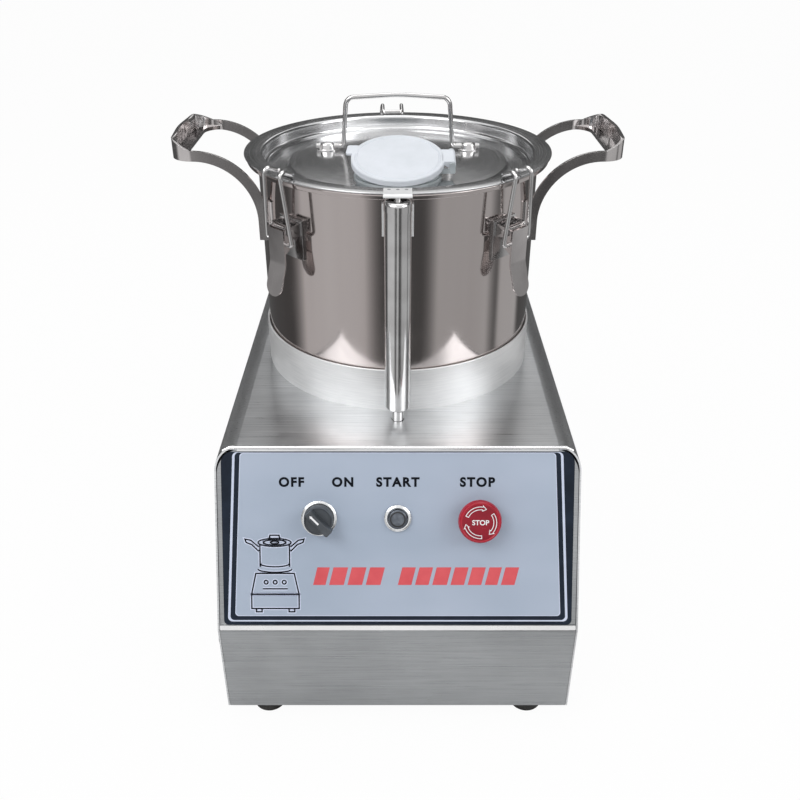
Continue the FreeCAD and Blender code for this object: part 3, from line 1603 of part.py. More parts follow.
def build_base():
    housing_shell()
    front_panel()
    control_panel()
    panel_overlay()
    rear_panel()
    bottom_plate()
    feet()
    foot_screws()
    cable_gland()
    seat_collar()
    bezel("selector_bezel", "-selector_from_middle", "selector_bezel_radius", "bushing_radius - 4")
    bezel("start_bezel", "0", "start_bezel_radius", "start_button_radius + clearance")
    bezel("stop_bezel", "stop_from_middle", "stop_bezel_radius", "stop_stem_radius + clearance")
    switch_blocks()
    electric_parts()
    interlock_switch()


def build_controls():
    selector_knob()
    start_button()
    stop_stem()
    stop_button()


def build_drive():
    motor_frame()
    motor_flange()
    shaft_bearings()
    stator()
    shaft_seal()
    motor_shaft()
    rotor_core()
    cooling_fan()
    blade_hub()
    blade_pair("lower_blades", "floor_inside + lower_blade_level", "0")
    blade_spacers()
    blade_pair("upper_blades", "floor_inside + upper_blade_level", "90")
    blade_nut()


def build_bowl():
    bowl()
    handle("right_handle", "0")
    handle("left_handle", "180")
    interlock_tube()
    tube_bracket()
    plunger()
    plunger_spring()
    gather("latch_mounts", [latch_mount(*item) for item in LATCH_PLACES.items()])
    for place_name, angle in LATCH_PLACES.items():
        latch_lever(place_name, angle)
        latch_hook(place_name, angle)


def build_lid():
    lid()
    lid_gasket()
    lid_tab()
    feed_port()
    cap_hinge()
    feed_cap()
    lid_bail()
    bail_clips()


def write_parts():
    """Check every object, then write each sub-part to its own file."""
    doc.recompute()
    failed = [item.Name for item in doc.Objects if {"Invalid", "Error"} & set(item.State)]
    for item in subparts:
        shape = item.Shape
        if shape.isNull() or not shape.isValid() or not shape.Solids:
            failed.append(item.Label)
    if failed:
        raise RuntimeError("These objects failed: " + ", ".join(failed))
    for item in subparts:
        item.Shape.exportStep(f"parts/{item.Label}.step")
        print(item.Label, len(item.Shape.Solids), round(item.Shape.Volume))


build_base()
build_controls()
build_drive()
build_bowl()
build_lid()
write_parts()
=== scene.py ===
import json
import math
import bpy
import bmesh
from mathutils import Matrix, Vector


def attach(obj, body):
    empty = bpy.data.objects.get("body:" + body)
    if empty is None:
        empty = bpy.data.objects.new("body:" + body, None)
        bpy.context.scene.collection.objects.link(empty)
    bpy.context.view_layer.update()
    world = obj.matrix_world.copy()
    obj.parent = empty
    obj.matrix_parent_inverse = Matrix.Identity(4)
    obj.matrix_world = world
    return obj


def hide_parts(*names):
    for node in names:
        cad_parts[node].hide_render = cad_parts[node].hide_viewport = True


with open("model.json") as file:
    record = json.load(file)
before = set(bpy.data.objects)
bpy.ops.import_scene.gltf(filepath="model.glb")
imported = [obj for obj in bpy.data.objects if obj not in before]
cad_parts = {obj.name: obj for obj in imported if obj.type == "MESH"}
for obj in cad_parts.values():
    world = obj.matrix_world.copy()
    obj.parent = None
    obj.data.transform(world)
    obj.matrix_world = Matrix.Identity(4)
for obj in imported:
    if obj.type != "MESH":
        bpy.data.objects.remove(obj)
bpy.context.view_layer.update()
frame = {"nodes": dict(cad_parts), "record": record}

# Sizes of the chopper in millimetres, as in the part's source
UNIT = 0.001
BOWL_AXIS = (0, 42, 0)
COVER_TOP = 266
FRONT = -220
LIP_LEVEL = 115
PANEL_SETBACK = 69
SLOPE_RISE = 151
SLOPE_ANGLE = math.atan2(SLOPE_RISE, PANEL_SETBACK)
BOWL_RADIUS = 130.5
BOWL_INSIDE = 129
BOWL_BOTTOM = 266.4
BOWL_RIM = 472.4
RIM_RADIUS = 140.5
LID_RADIUS = 142.8
LID_TOP = 474
RECESS_RADIUS = 126.5
PLATE_TOP = 461
STEP_RADIUS = 102
STEP_TOP = 463
SHEET = 1.2
PORT_Y = -57
PORT_RADIUS = 37
PORT_LEVEL = 477
PORT_TILT = math.radians(13.4)
CAP_RADIUS = 41.3
CAP_THICKNESS = 3.2
BAIL_Y = 32
BAIL_CLIP_X = 68.5
CENTRE_TUBE_INSIDE = 21.6
CENTRE_TUBE_OUTSIDE = 23.2
CENTRE_TUBE_TOP = 358.4
COLLAR_GAP = 0.6
COLLAR_SHEET = 2
COLLAR_HEIGHT = 42
OVERLAY_LEVEL = -1.2
PANEL_SURFACE = OVERLAY_LEVEL + 0.3
FILM_FOOT = 5.1
FILM_HEAD = 160.9
FILM_HALF_WIDTH = 154
CONTROL_HEIGHT = 102
SELECTOR_X = -69
STOP_X = 71
BEZEL_HEIGHT = 2.6
FILM_CORNER = 10
FOLD_RADIUS = 2.0
FOLD_Y = -150.4
FOLD_Z = 263.9
# Camera: photo width and focal length in pixels, dip in degrees, sensor in millimetres
PHOTO_WIDTH = 800
FOCAL_PIXELS = 873
CAMERA_DIP = 30.7
SENSOR_WIDTH = 36

BODY_NODES = frame["record"]["behaviour"]["bodies"]
NODE_BODY = {node: body for body, nodes in BODY_NODES.items() for node in nodes}


# Shapes
def rounded(corners, steps=7, closed=True):
    """Points of an outline whose corners (x, y, radius) are turned into arcs."""
    points = []
    count = len(corners)
    for index, corner in enumerate(corners):
        here = Vector(corner[:2])
        radius = corner[2] if len(corner) == 3 else 0
        if radius == 0 or (not closed and index in (0, count - 1)):
            points.append(here)
            continue
        back = Vector(corners[index - 1][:2]) - here
        ahead = Vector(corners[(index + 1) % count][:2]) - here
        half_angle = back.angle(ahead) / 2
        back.normalize()
        ahead.normalize()
        centre = here + (back + ahead).normalized() * (radius / math.sin(half_angle))
        start = here + back * (radius / math.tan(half_angle)) - centre
        finish = here + ahead * (radius / math.tan(half_angle)) - centre
        sweep = start.angle_signed(finish)
        for step in range(steps + 1):
            points.append(centre + Matrix.Rotation(-sweep * step / steps, 2) @ start)
    return [tuple(point) for point in points]


def in_scene(name, data):
    holder = bpy.data.objects.new(name, data)
    bpy.context.scene.collection.objects.link(holder)
    return holder


def plain_mesh(name, shape):
    mesh = bpy.data.meshes.new(name)
    shape.to_mesh(mesh)
    shape.free()
    return mesh


def joined(name, parts):
    """One mesh that holds the shapes of several."""
    shape = bmesh.new()
    for part in parts:
        shape.from_mesh(part)
    return plain_mesh(name, shape)


def make_object(name, mesh, body, materials, place=Matrix(), smooth_angle=38):
    """Link a finished mesh, drawn in millimetres, at its place on a body."""
    mesh.transform(Matrix.Scale(UNIT, 4) @ place)
    mesh.shade_smooth()
    mesh.set_sharp_from_angle(angle=math.radians(smooth_angle))
    piece = in_scene(name, mesh)
    for material in materials:
        mesh.materials.append(material)
    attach(piece, body)
    return piece


def lathe_mesh(name, outline, steps=144):
    """Turn a closed outline (radius, height) about the upright axis."""
    shape = bmesh.new()
    columns = []
    for step in range(steps):
        angle = 2 * math.pi * step / steps
        columns.append((math.cos(angle), math.sin(angle)))
    rings = []
    for radius, height in outline:
        if radius < 1e-6:
            rings.append([shape.verts.new((0, 0, height))])
        else:
            rings.append([shape.verts.new((radius * x, radius * y, height)) for x, y in columns])
    for low, high in zip(rings, rings[1:] + rings[:1]):
        if len(low) == 1 and len(high) == 1:
            continue
        for step in range(steps):
            ahead = (step + 1) % steps
            quad = [low[step % len(low)], low[ahead % len(low)]]
            quad += [high[ahead % len(high)], high[step % len(high)]]
            corners = list(dict.fromkeys(quad))
            shape.faces.new(corners)
    bmesh.ops.recalc_face_normals(shape, faces=shape.faces)
    return plain_mesh(name, shape)


def turned_piece(name, corners, body, material, steps):
    """A piece turned about the bowl's axis."""
    mesh = lathe_mesh(name, rounded(corners), steps)
    return make_object(name, mesh, body, [material], Matrix.Translation(BOWL_AXIS))


def slab_mesh(name, outline, low, high):
    """A flat plate with an outline, between two levels."""
    shape = bmesh.new()
    bottom = [shape.verts.new((x, y, low)) for x, y in outline]
    top = [shape.verts.new((x, y, high)) for x, y in outline]
    shape.faces.new(list(reversed(bottom)))
    shape.faces.new(top)
    count = len(outline)
    for index in range(count):
        ahead = (index + 1) % count
        shape.faces.new((bottom[index], bottom[ahead], top[ahead], top[index]))
    bmesh.ops.recalc_face_normals(shape, faces=shape.faces)
    return plain_mesh(name, shape)


def band_mesh(name, outer, inner, low, high):
    """A flat frame between two outlines with as many points each."""
    shape = bmesh.new()
    rows = []
    for outline, level in ((outer, low), (outer, high), (inner, high), (inner, low)):
        rows.append([shape.verts.new((x, y, level)) for x, y in outline])
    count = len(outer)
    for row, following in zip(rows, rows[1:] + rows[:1]):
        for index in range(count):
            ahead = (index + 1) % count
            shape.faces.new((row[index], row[ahead], following[ahead], following[index]))
    bmesh.ops.recalc_face_normals(shape, faces=shape.faces)
    return plain_mesh(name, shape)


def panel_place(across=0, up=0, out=0):
    """Place on the sloped panel: x across, y up the slope, z out of the surface."""
    lip = Matrix.Translation((0, FRONT, LIP_LEVEL))
    return lip @ Matrix.Rotation(SLOPE_ANGLE, 4, "X") @ Matrix.Translation((across, up, out))


def disc_outline(radius, count=48):
    angles = [2 * math.pi * index / count for index in range(count)]
    return [(radius * math.cos(angle), radius * math.sin(angle)) for angle in angles]


def stroke_mesh(name, lines, width, low=0.0, high=0.04):
    """Flat drawn lines of an even width; each line is (points, closed)."""
    shape = bmesh.new()
    for points, closed in lines:
        points = [Vector(point) for point in points]
        count = len(points)
        rails = []
        for index, point in enumerate(points):
            before = points[index - 1] if closed or index > 0 else None
            after = points[(index + 1) % count] if closed or index < count - 1 else None
            way_in = (point - before).normalized() if before is not None else (after - point).normalized()
            way_out = (after - point).normalized() if after is not None else way_in
            side_in = Vector((-way_in.y, way_in.x))
            side_out = Vector((-way_out.y, way_out.x))
            mitre = (side_in + side_out).normalized()
            reach = width / 2 / max(mitre.dot(side_in), 0.35)
            rails.append((point + mitre * reach, point - mitre * reach))
        corners = []
        for left, right in rails:
            corners.append([shape.verts.new((p.x, p.y, z)) for p in (left, right) for z in (low, high)])
        following = corners[1:] + corners[:1] if closed else corners[1:]
        spans = list(zip(corners, following))
        for (a, b, c, d), (e, f, g, h) in spans:
            for face in ((b, d, h, f), (a, e, g, c), (a, b, f, e), (c, g, h, d)):
                shape.faces.new(face)
        if not closed:
            shape.faces.new(corners[0][:2] + corners[0][:1:-1])
            shape.faces.new(corners[-1][:2][::-1] + corners[-1][2:])
    bmesh.ops.recalc_face_normals(shape, faces=shape.faces)
    return plain_mesh(name, shape)


def soften(piece, width, segments):
    """Small rounded edges on a piece."""
    edge = piece.modifiers.new("soft_edges", "BEVEL")
    edge.width = width * UNIT
    edge.segments = segments
    edge.limit_method = "ANGLE"
    edge.angle_limit = math.radians(35)
    edge.harden_normals = True


def refined(node, material, bevel):
    """A node's own shape with merged faces, small rounded edges and even shading."""
    shape = bmesh.new()
    shape.from_mesh(frame["nodes"][node].data)
    bmesh.ops.remove_doubles(shape, verts=shape.verts, dist=0.00001)
    bmesh.ops.dissolve_limit(shape, angle_limit=math.radians(0.6), verts=shape.verts, edges=shape.edges)
    mesh = plain_mesh(node + "_finished", shape)
    mesh.shade_smooth()
    mesh.set_sharp_from_angle(angle=math.radians(35))
    piece = in_scene(mesh.name, mesh)
    mesh.materials.append(material)
    soften(piece, bevel, 2)
    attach(piece, NODE_BODY[node])
    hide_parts(node)
    return piece


def port_place(across=0, back=0, out=0):
    seat = Matrix.Translation((0, BOWL_AXIS[1] + PORT_Y, PORT_LEVEL))
    return seat @ Matrix.Rotation(PORT_TILT, 4, "X") @ Matrix.Translation((across, back, out))


# Materials
def tone(colour):
    """Linear colour of a written colour such as #aab4c4."""
    parts = [int(colour[index:index + 2], 16) / 255 for index in (1, 3, 5)]
    linear = [((c + 0.055) / 1.055) ** 2.4 if c > 0.04045 else c / 12.92 for c in parts]
    return (*linear, 1)


def new_material(name):
    material = bpy.data.materials.new(name)
    material.use_nodes = True
    return material, material.node_tree


def new_finish(name, colour, roughness, metallic=0.0, **sockets):
    material, tree = new_material(name)
    surface = tree.nodes["Principled BSDF"]
    surface.inputs["Base Color"].default_value = tone(colour)
    surface.inputs["Roughness"].default_value = roughness
    surface.inputs["Metallic"].default_value = metallic
    for socket, amount in sockets.items():
        surface.inputs[socket.replace("_", " ")].default_value = amount
    return material, tree, surface


def object_noise(tree, stretch, scale, detail=4.0, roughness=0.6):
    """Noise on Object coordinates, stretched along the axes."""
    place = tree.nodes.new("ShaderNodeTexCoord")
    mapping = tree.nodes.new("ShaderNodeMapping")
    mapping.inputs["Scale"].default_value = stretch
    noise = tree.nodes.new("ShaderNodeTexNoise")
    noise.inputs["Scale"].default_value = scale
    noise.inputs["Detail"].default_value = detail
    noise.inputs["Roughness"].default_value = roughness
    tree.links.new(place.outputs["Object"], mapping.inputs["Vector"])
    tree.links.new(mapping.outputs["Vector"], noise.inputs["Vector"])
    return noise.outputs["Fac"]


def ring_noise(tree, centre, scale, detail=6.0):
    """Noise that runs in fine rings about an upright axis, as on a spun sheet."""
    place = tree.nodes.new("ShaderNodeTexCoord")
    mapping = tree.nodes.new("ShaderNodeMapping")
    mapping.inputs["Location"].default_value = (-centre[0] * UNIT, -centre[1] * UNIT, 0)
    apart = tree.nodes.new("ShaderNodeSeparateXYZ")
    flat = tree.nodes.new("ShaderNodeCombineXYZ")
    length = tree.nodes.new("ShaderNodeVectorMath")
    length.operation = "LENGTH"
    noise = tree.nodes.new("ShaderNodeTexNoise")
    noise.noise_dimensions = "1D"
    noise.inputs["Scale"].default_value = scale
    noise.inputs["Detail"].default_value = detail
    tree.links.new(place.outputs["Object"], mapping.inputs["Vector"])
    tree.links.new(mapping.outputs["Vector"], apart.inputs["Vector"])
    tree.links.new(apart.outputs["X"], flat.inputs["X"])
    tree.links.new(apart.outputs["Y"], flat.inputs["Y"])
    tree.links.new(flat.outputs["Vector"], length.inputs[0])
    tree.links.new(length.outputs["Value"], noise.inputs["W"])
    return noise.outputs["Fac"]


def between(tree, amount, low, high, start=0.0, end=1.0):
    """Spread a pattern from low to high."""
    spread = tree.nodes.new("ShaderNodeMapRange")
    spread.inputs["From Min"].default_value = start
    spread.inputs["From Max"].default_value = end
    spread.inputs["To Min"].default_value = low
    spread.inputs["To Max"].default_value = high
    tree.links.new(amount, spread.inputs["Value"])
    return spread.outputs["Result"]


def two_tones(tree, amount, dark, pale, start=0.3, end=0.7):
    ramp = tree.nodes.new("ShaderNodeValToRGB")
    ramp.color_ramp.elements[0].position = start
    ramp.color_ramp.elements[0].color = tone(dark)
    ramp.color_ramp.elements[1].position = end
    ramp.color_ramp.elements[1].color = tone(pale)
    tree.links.new(amount, ramp.inputs["Fac"])
    return ramp.outputs["Color"]


def multiply(tree, first, second, amount=1.0):
    mix = tree.nodes.new("ShaderNodeMix")
    mix.data_type = "RGBA"
    mix.blend_type = "MULTIPLY"
    mix.inputs["Factor"].default_value = amount
    tree.links.new(first, mix.inputs["A"])
    tree.links.new(second, mix.inputs["B"])
    return mix.outputs["Result"]


def relief(tree, surface, amount, strength, depth):
    bump = tree.nodes.new("ShaderNodeBump")
    bump.inputs["Strength"].default_value = strength
    bump.inputs["Distance"].default_value = depth
    tree.links.new(amount, bump.inputs["Height"])
    tree.links.new(bump.outputs["Normal"], surface.inputs["Normal"])


def brushed_steel(name, grain, dark, pale, roughness=0.3, metallic=1.0):
    """Stainless sheet with fine brush lines; grain holds the stretch of the lines."""
    material, tree, surface = new_finish(name, pale, roughness, metallic)
    lines = object_noise(tree, grain, 9.0, 8.0, 0.7)
    clouds = object_noise(tree, (1, 1, 1), 11.0, 3.0)
    colour = multiply(tree, two_tones(tree, lines, dark, pale, 0.3, 0.72),
                      two_tones(tree, clouds, "#efefef", "#ffffff", 0.35, 0.65))
    tree.links.new(colour, surface.inputs["Base Color"])
    sheen = between(tree, lines, roughness - 0.07, roughness + 0.1, 0.3, 0.7)
    tree.links.new(sheen, surface.inputs["Roughness"])
    relief(tree, surface, lines, 0.5, 0.00004)
    return material


def mirror_steel():
    """Polished pot: pinkish grey with upright bands of tone, both painted reflection in its colour; faint
    waviness and wipe marks.
    """
    material, tree, surface = new_finish("polished_pot_steel", "#a8a09e", 0.1, 1.0)
    bands = object_noise(tree, (14, 14, 0.6), 1.0, 3.0, 0.5)
    smears = object_noise(tree, (30, 30, 12), 1.0, 5.0)
    waves = object_noise(tree, (9, 9, 3), 1.0, 1.0)
    # Base colour: the pinkish grey and the upright bands are painted reflection.
    colour = two_tones(tree, bands, "#b9b0ae", "#cbc4c2", 0.3, 0.7)
    tree.links.new(colour, surface.inputs["Base Color"])
    tree.links.new(between(tree, smears, 0.06, 0.17, 0.4, 0.75), surface.inputs["Roughness"])
    relief(tree, surface, waves, 0.12, 0.0015)
    return material


def spun_steel(name, dark, pale, roughness):
    """Sheet polished on a lathe, with rings about the bowl's axis and broad darker and paler patches of
    painted reflection in its colour.
    """
    material, tree, surface = new_finish(name, pale, roughness, 1.0)
    rings = ring_noise(tree, BOWL_AXIS, 1500)
    painted_reflection_patches = object_noise(tree, (7, 7, 7), 1.0, 2.0)
    # The broad patches multiplied into the colour are painted reflection; the rings are the spun grain.
    colour = multiply(tree, two_tones(tree, rings, dark, pale, 0.3, 0.7),
                      two_tones(tree, painted_reflection_patches, "#c0c0c0", "#ffffff", 0.35, 0.65))
    tree.links.new(colour, surface.inputs["Base Color"])
    sheen = between(tree, rings, roughness - 0.06, roughness + 0.08, 0.3, 0.7)
    tree.links.new(sheen, surface.inputs["Roughness"])
    relief(tree, surface, rings, 0.1, 0.00002)
    return material


def polished_steel(name, dark, pale, roughness):
    """Smooth steel with slow shifts of tone and sheen."""
    material, tree, surface = new_finish(name, pale, roughness, 1.0)
    clouds = object_noise(tree, (25, 25, 25), 1.0, 2.0)
    tree.links.new(two_tones(tree, clouds, dark, pale, 0.3, 0.7), surface.inputs["Base Color"])
    tree.links.new(between(tree, clouds, roughness - 0.04, roughness + 0.06), surface.inputs["Roughness"])
    return material


def plastic(name, dark, pale, roughness, grain=900, strength=0.12, **sockets):
    """Moulded plastic with a fine grain and slight shifts of tone."""
    material, tree, surface = new_finish(name, pale, roughness, 0.0, **sockets)
    clouds = object_noise(tree, (40, 40, 40), 1.0, 4.0)
    fine = object_noise(tree, (1, 1, 1), grain, 2.0)
    tree.links.new(two_tones(tree, clouds, dark, pale, 0.3, 0.7), surface.inputs["Base Color"])
    tree.links.new(between(tree, clouds, roughness - 0.05, roughness + 0.07), surface.inputs["Roughness"])
    relief(tree, surface, fine, strength, 0.0001)
    return material


def rubber_finish():
    material, tree, surface = new_finish("foot_rubber", "#232323", 0.75)
    dust = object_noise(tree, (120, 120, 120), 1.0, 6.0)
    tree.links.new(two_tones(tree, dust, "#1b1b1b", "#3a3836", 0.35, 0.8), surface.inputs["Base Color"])
    relief(tree, surface, dust, 0.3, 0.0003)
    return material


def cast_metal(name, dark, pale, roughness):
    """Metal with a fine uneven skin."""
    material, tree, surface = new_finish(name, pale, roughness, 1.0)
    grit = object_noise(tree, (1, 1, 1), 260, 6.0)
    tree.links.new(two_tones(tree, grit, dark, pale, 0.3, 0.7), surface.inputs["Base Color"])
    relief(tree, surface, grit, 0.4, 0.0004)
    return material


def printed_film():
    """Grey-blue printed film with a soft sheen and a fine grain."""
    material, tree, surface = new_finish("panel_film", "#aab5c6", 0.42, Specular_IOR_Level=0.25)
    clouds = object_noise(tree, (4, 4, 7), 1.0, 3.0)
    fine = object_noise(tree, (1, 1, 1), 1400, 2.0)
    tree.links.new(two_tones(tree, clouds, "#a3afc0", "#b3bdce", 0.35, 0.65), surface.inputs["Base Color"])
    relief(tree, surface, fine, 0.05, 0.0001)
    return material


STEEL_HOUSING = brushed_steel("brushed_housing_steel", (1.6, 130, 130), "#9c9ea0", "#b6b8ba")
STEEL_COVER = brushed_steel("brushed_cover_steel", (1.6, 130, 130), "#c2c4c6", "#f0f1f2", 0.32)
STEEL_COLLAR = brushed_steel("brushed_collar_steel", (4, 4, 150), "#e2e3e4", "#f8f8f8", 0.36, metallic=0.6)
STEEL_POT = mirror_steel()
STEEL_LID = spun_steel("spun_lid_steel", "#cccdce", "#f2f2f3", 0.14)
STEEL_WIRE = polished_steel("drawn_wire_steel", "#bdbbbb", "#dedede", 0.14)
STEEL_HANDLE = polished_steel("polished_handle_steel", "#c9c4c4", "#e2dedd", 0.13)
# Steel paler than the sheets it edges: a painted highlight over its real reflection.
STEEL_EDGE_HIGHLIGHT = polished_steel("edge_steel_painted_highlight", "#efeff0", "#fbfbfb", 0.25)
FILM = printed_film()
NAVY = plastic("navy_print", "#161d28", "#212a38", 0.5, Specular_IOR_Level=0.15)
PALE_PRINT = plastic("pale_print", "#c3cbe0", "#cfd7ea", 0.4)
BLACK_PRINT = plastic("black_print", "#0a0d14", "#11151d", 0.5, Specular_IOR_Level=0.1)
RED_PRINT = plastic("red_print", "#cf4a52", "#dc5a60", 0.45)
WHITE_PRINT = plastic("white_print", "#e8e8ea", "#f4f4f6", 0.4)
KNOB_PLASTIC = plastic("knob_plastic", "#34383d", "#4b5056", 0.42)
BLACK_PLASTIC = plastic("black_plastic", "#1d1e20", "#2c2d30", 0.5)
RED_PLASTIC = plastic("mushroom_red_plastic", "#9b0f25", "#b4162e", 0.22, 300, 0.03)
RED_FACE = plastic("mushroom_face_print", "#7f1022", "#95172a", 0.25, 300, 0.03, Specular_IOR_Level=0.3)
BUTTON_METAL = cast_metal("button_metal", "#5a5f66", "#777c84", 0.3)
CAP_PLASTIC = plastic("cap_plastic", "#cdd2d8", "#d8dce3", 0.38, 700, 0.05)
PORT_PLASTIC = plastic("port_plastic", "#b9c1c4", "#cdd4d7", 0.3, 700, 0.05, Transmission_Weight=0.35)
BEZEL_METAL = cast_metal("bezel_metal", "#d3d5d7", "#f2f3f4", 0.2)
CAST_ALLOY = cast_metal("cast_alloy", "#85878a", "#a5a7aa", 0.45)
IRON = cast_metal("core_iron", "#3c3d40", "#595b5f", 0.6)
COPPER = cast_metal("winding_copper", "#8f5023", "#b86f37", 0.4)
RUBBER = rubber_finish()


# Stage, lamps and camera
# Pale patches on the ground that only the metal mirrors: middle and half width in degrees
# about the object, 0 to the right and -90 towards the camera, then brightness
GROUND_PATCHES = [
    (-146, 46, 0.68),
    (-90, 10, 0.6),
    (-34, 38, 0.5),
    (17, 20, 0.5),
]
GROUND_DARK = 0.09
GROUND_EDGE = 3
GROUND_NEAR = 0.42
GROUND_FAR = 4.0
GROUND_LIFT = 0.003
SCREEN_RADIUS = 2.6
# Upright screens that only the metal mirrors: name, from, to, bottom and top in metres, brightness
STUDIO_SCREENS = [
    ("rear_low", 40, 140, 0.0, 1.4, 0.1),
    ("rear_high_left", 101, 150, 1.4, 3.2, 0.12),
    ("rear_high_right", 30, 79, 1.4, 3.2, 0.12),
    ("high_left", 150, 186, 1.5, 3.2, 0.06),
    ("high_right", -6, 30, 1.5, 3.2, 0.06),
    ("side_left", 150, 215, 0.0, 1.5, 0.3),
    ("side_right", -35, 30, 0.0, 1.5, 0.3),
]


def seen_share(tree, share, *ways):
    """A light path amount that is `share` for the named kinds of ray, else 0."""
    path = tree.nodes.new("ShaderNodeLightPath")
    seen = path.outputs[ways[0]]
    for way in ways[1:]:
        either = tree.nodes.new("ShaderNodeMath")
        either.operation = "MAXIMUM"
        tree.links.new(seen, either.inputs[0])
        tree.links.new(path.outputs[way], either.inputs[1])
        seen = either.outputs["Value"]
    part = tree.nodes.new("ShaderNodeMath")
    part.operation = "MULTIPLY"
    part.inputs[1].default_value = share
    tree.links.new(seen, part.inputs[0])
    return part.outputs["Value"]


def floor():
    """Pale floor, nearly white to the camera, that keeps the object's shadow."""
    mesh = bpy.data.meshes.new("floor")
    half = 20
    corners = [(-half, -half, 0), (half, -half, 0), (half, half, 0), (-half, half, 0)]
    mesh.from_pydata(corners, [], [(0, 1, 2, 3)])
    ground = in_scene("floor", mesh)
    material, tree = new_material("pale_floor")
    surface = tree.nodes["Principled BSDF"]
    surface.inputs["Base Color"].default_value = (0.8, 0.8, 0.8, 1)
    surface.inputs["Roughness"].default_value = 0.9
    surface.inputs["Specular IOR Level"].default_value = 0.1
    glow = tree.nodes.new("ShaderNodeEmission")
    glow.inputs["Strength"].default_value = 1.0
    mix = tree.nodes.new("ShaderNodeMixShader")
    tree.links.new(seen_share(tree, 0.96, "Is Camera Ray"), mix.inputs["Fac"])
    tree.links.new(surface.outputs["BSDF"], mix.inputs[1])
    tree.links.new(glow.outputs["Emission"], mix.inputs[2])
    tree.links.new(mix.outputs["Shader"], tree.nodes["Material Output"].inputs["Surface"])
    mesh.materials.append(material)


def mirrored_sheet(name, sectors):
    """A sheet about the object that only metal mirrors.

    Each sector holds an angle, a tone and the sheet's (radius, height) pairs there.
    """
    points = []
    tones = []
    for degrees, brightness, edge in sectors:
        angle = math.radians(degrees)
        for radius, height in edge:
            points.append((radius * math.cos(angle), radius * math.sin(angle), height))
            tones.append(brightness)
    faces = [(2 * step, 2 * step + 2, 2 * step + 3, 2 * step + 1) for step in range(len(sectors) - 1)]
    mesh = bpy.data.meshes.new(name)
    mesh.from_pydata(points, [], faces)
    layer = mesh.color_attributes.new("tone", "FLOAT_COLOR", "POINT")
    for index, brightness in enumerate(tones):
        layer.data[index].color = (brightness, brightness, brightness, 1)
    sheet = in_scene(name, mesh)
    material, tree = new_material(name)
    painted = tree.nodes.new("ShaderNodeAttribute")
    painted.attribute_name = "tone"
    glow = tree.nodes.new("ShaderNodeEmission")
    tree.links.new(painted.outputs["Color"], glow.inputs["Color"])
    tree.links.new(glow.outputs["Emission"], tree.nodes["Material Output"].inputs["Surface"])
    mesh.materials.append(material)
    for way in ("camera", "diffuse", "shadow", "transmission", "volume_scatter"):
        setattr(sheet, "visible_" + way, False)


def ground_tone(degrees):
    """Brightness of the mirrored ground in one direction."""
    tone_here = GROUND_DARK
    for middle, half_width, brightness in GROUND_PATCHES:
        apart = abs((degrees - middle + 180) % 360 - 180)
        if apart < half_width:
            swell = 0.5 + 0.5 * math.cos(math.pi * apart / half_width)
            share = min(1, GROUND_EDGE * swell)
            tone_here = max(tone_here, GROUND_DARK + (brightness - GROUND_DARK) * share)
    return tone_here


def studio_screens():
    """The patches on the ground and the upright screens."""
    flat = [(GROUND_NEAR, GROUND_LIFT), (GROUND_FAR, GROUND_LIFT)]
    sectors = [(degrees, ground_tone(degrees), flat) for degrees in range(-180, 181, 2)]
    mirrored_sheet("ground_patches", sectors)
    for name, low, high, bottom, top, brightness in STUDIO_SCREENS:
        upright = [(SCREEN_RADIUS, bottom), (SCREEN_RADIUS, top)]
        mirrored_sheet(name, [(degrees, brightness, upright) for degrees in range(low, high + 1, 5)])


def surroundings():
    """White to the camera, in mirrors and through glass; a soft even light otherwise."""
    world = bpy.data.worlds.new("studio")
    bpy.context.scene.world = world
    world.use_nodes = True
    tree = world.node_tree
    studio = tree.nodes["Background"]
    studio.inputs["Color"].default_value = (1, 1, 1, 1)
    studio.inputs["Strength"].default_value = 0.55
    white = tree.nodes.new("ShaderNodeBackground")
    white.inputs["Color"].default_value = (1, 1, 1, 1)
    white.inputs["Strength"].default_value = 1.0
    mix = tree.nodes.new("ShaderNodeMixShader")
    tree.links.new(seen_share(tree, 1.0, "Is Camera Ray", "Is Glossy Ray", "Is Transmission Ray"),
                   mix.inputs["Fac"])
    tree.links.new(studio.outputs["Background"], mix.inputs[1])
    tree.links.new(white.outputs["Background"], mix.inputs[2])
    tree.links.new(mix.outputs["Shader"], tree.nodes["World Output"].inputs["Surface"])
    bpy.context.scene.view_settings.view_transform = "Standard"


def lamp(name, place, target, width, height, power):
    """A soft rectangular lamp aimed at a point."""
    light = bpy.data.lights.new(name, "AREA")
    light.shape = "RECTANGLE"
    light.size = width
    light.size_y = height
    light.energy = power
    holder = in_scene(name, light)
    holder.location = place
    holder.rotation_euler = (Vector(target) - Vector(place)).to_track_quat("-Z", "Y").to_euler()


def camera():
    """The photograph's point of view."""
    lens = bpy.data.cameras.new("photo_camera")
    lens.sensor_width = SENSOR_WIDTH
    lens.lens = FOCAL_PIXELS / PHOTO_WIDTH * SENSOR_WIDTH
    lens.shift_x = 0.00275
    holder = in_scene("photo_camera", lens)
    holder.location = (0, -0.7825, 0.6875)
    holder.rotation_euler = (math.radians(90 - CAMERA_DIP), 0, 0)
    bpy.context.scene.camera = holder


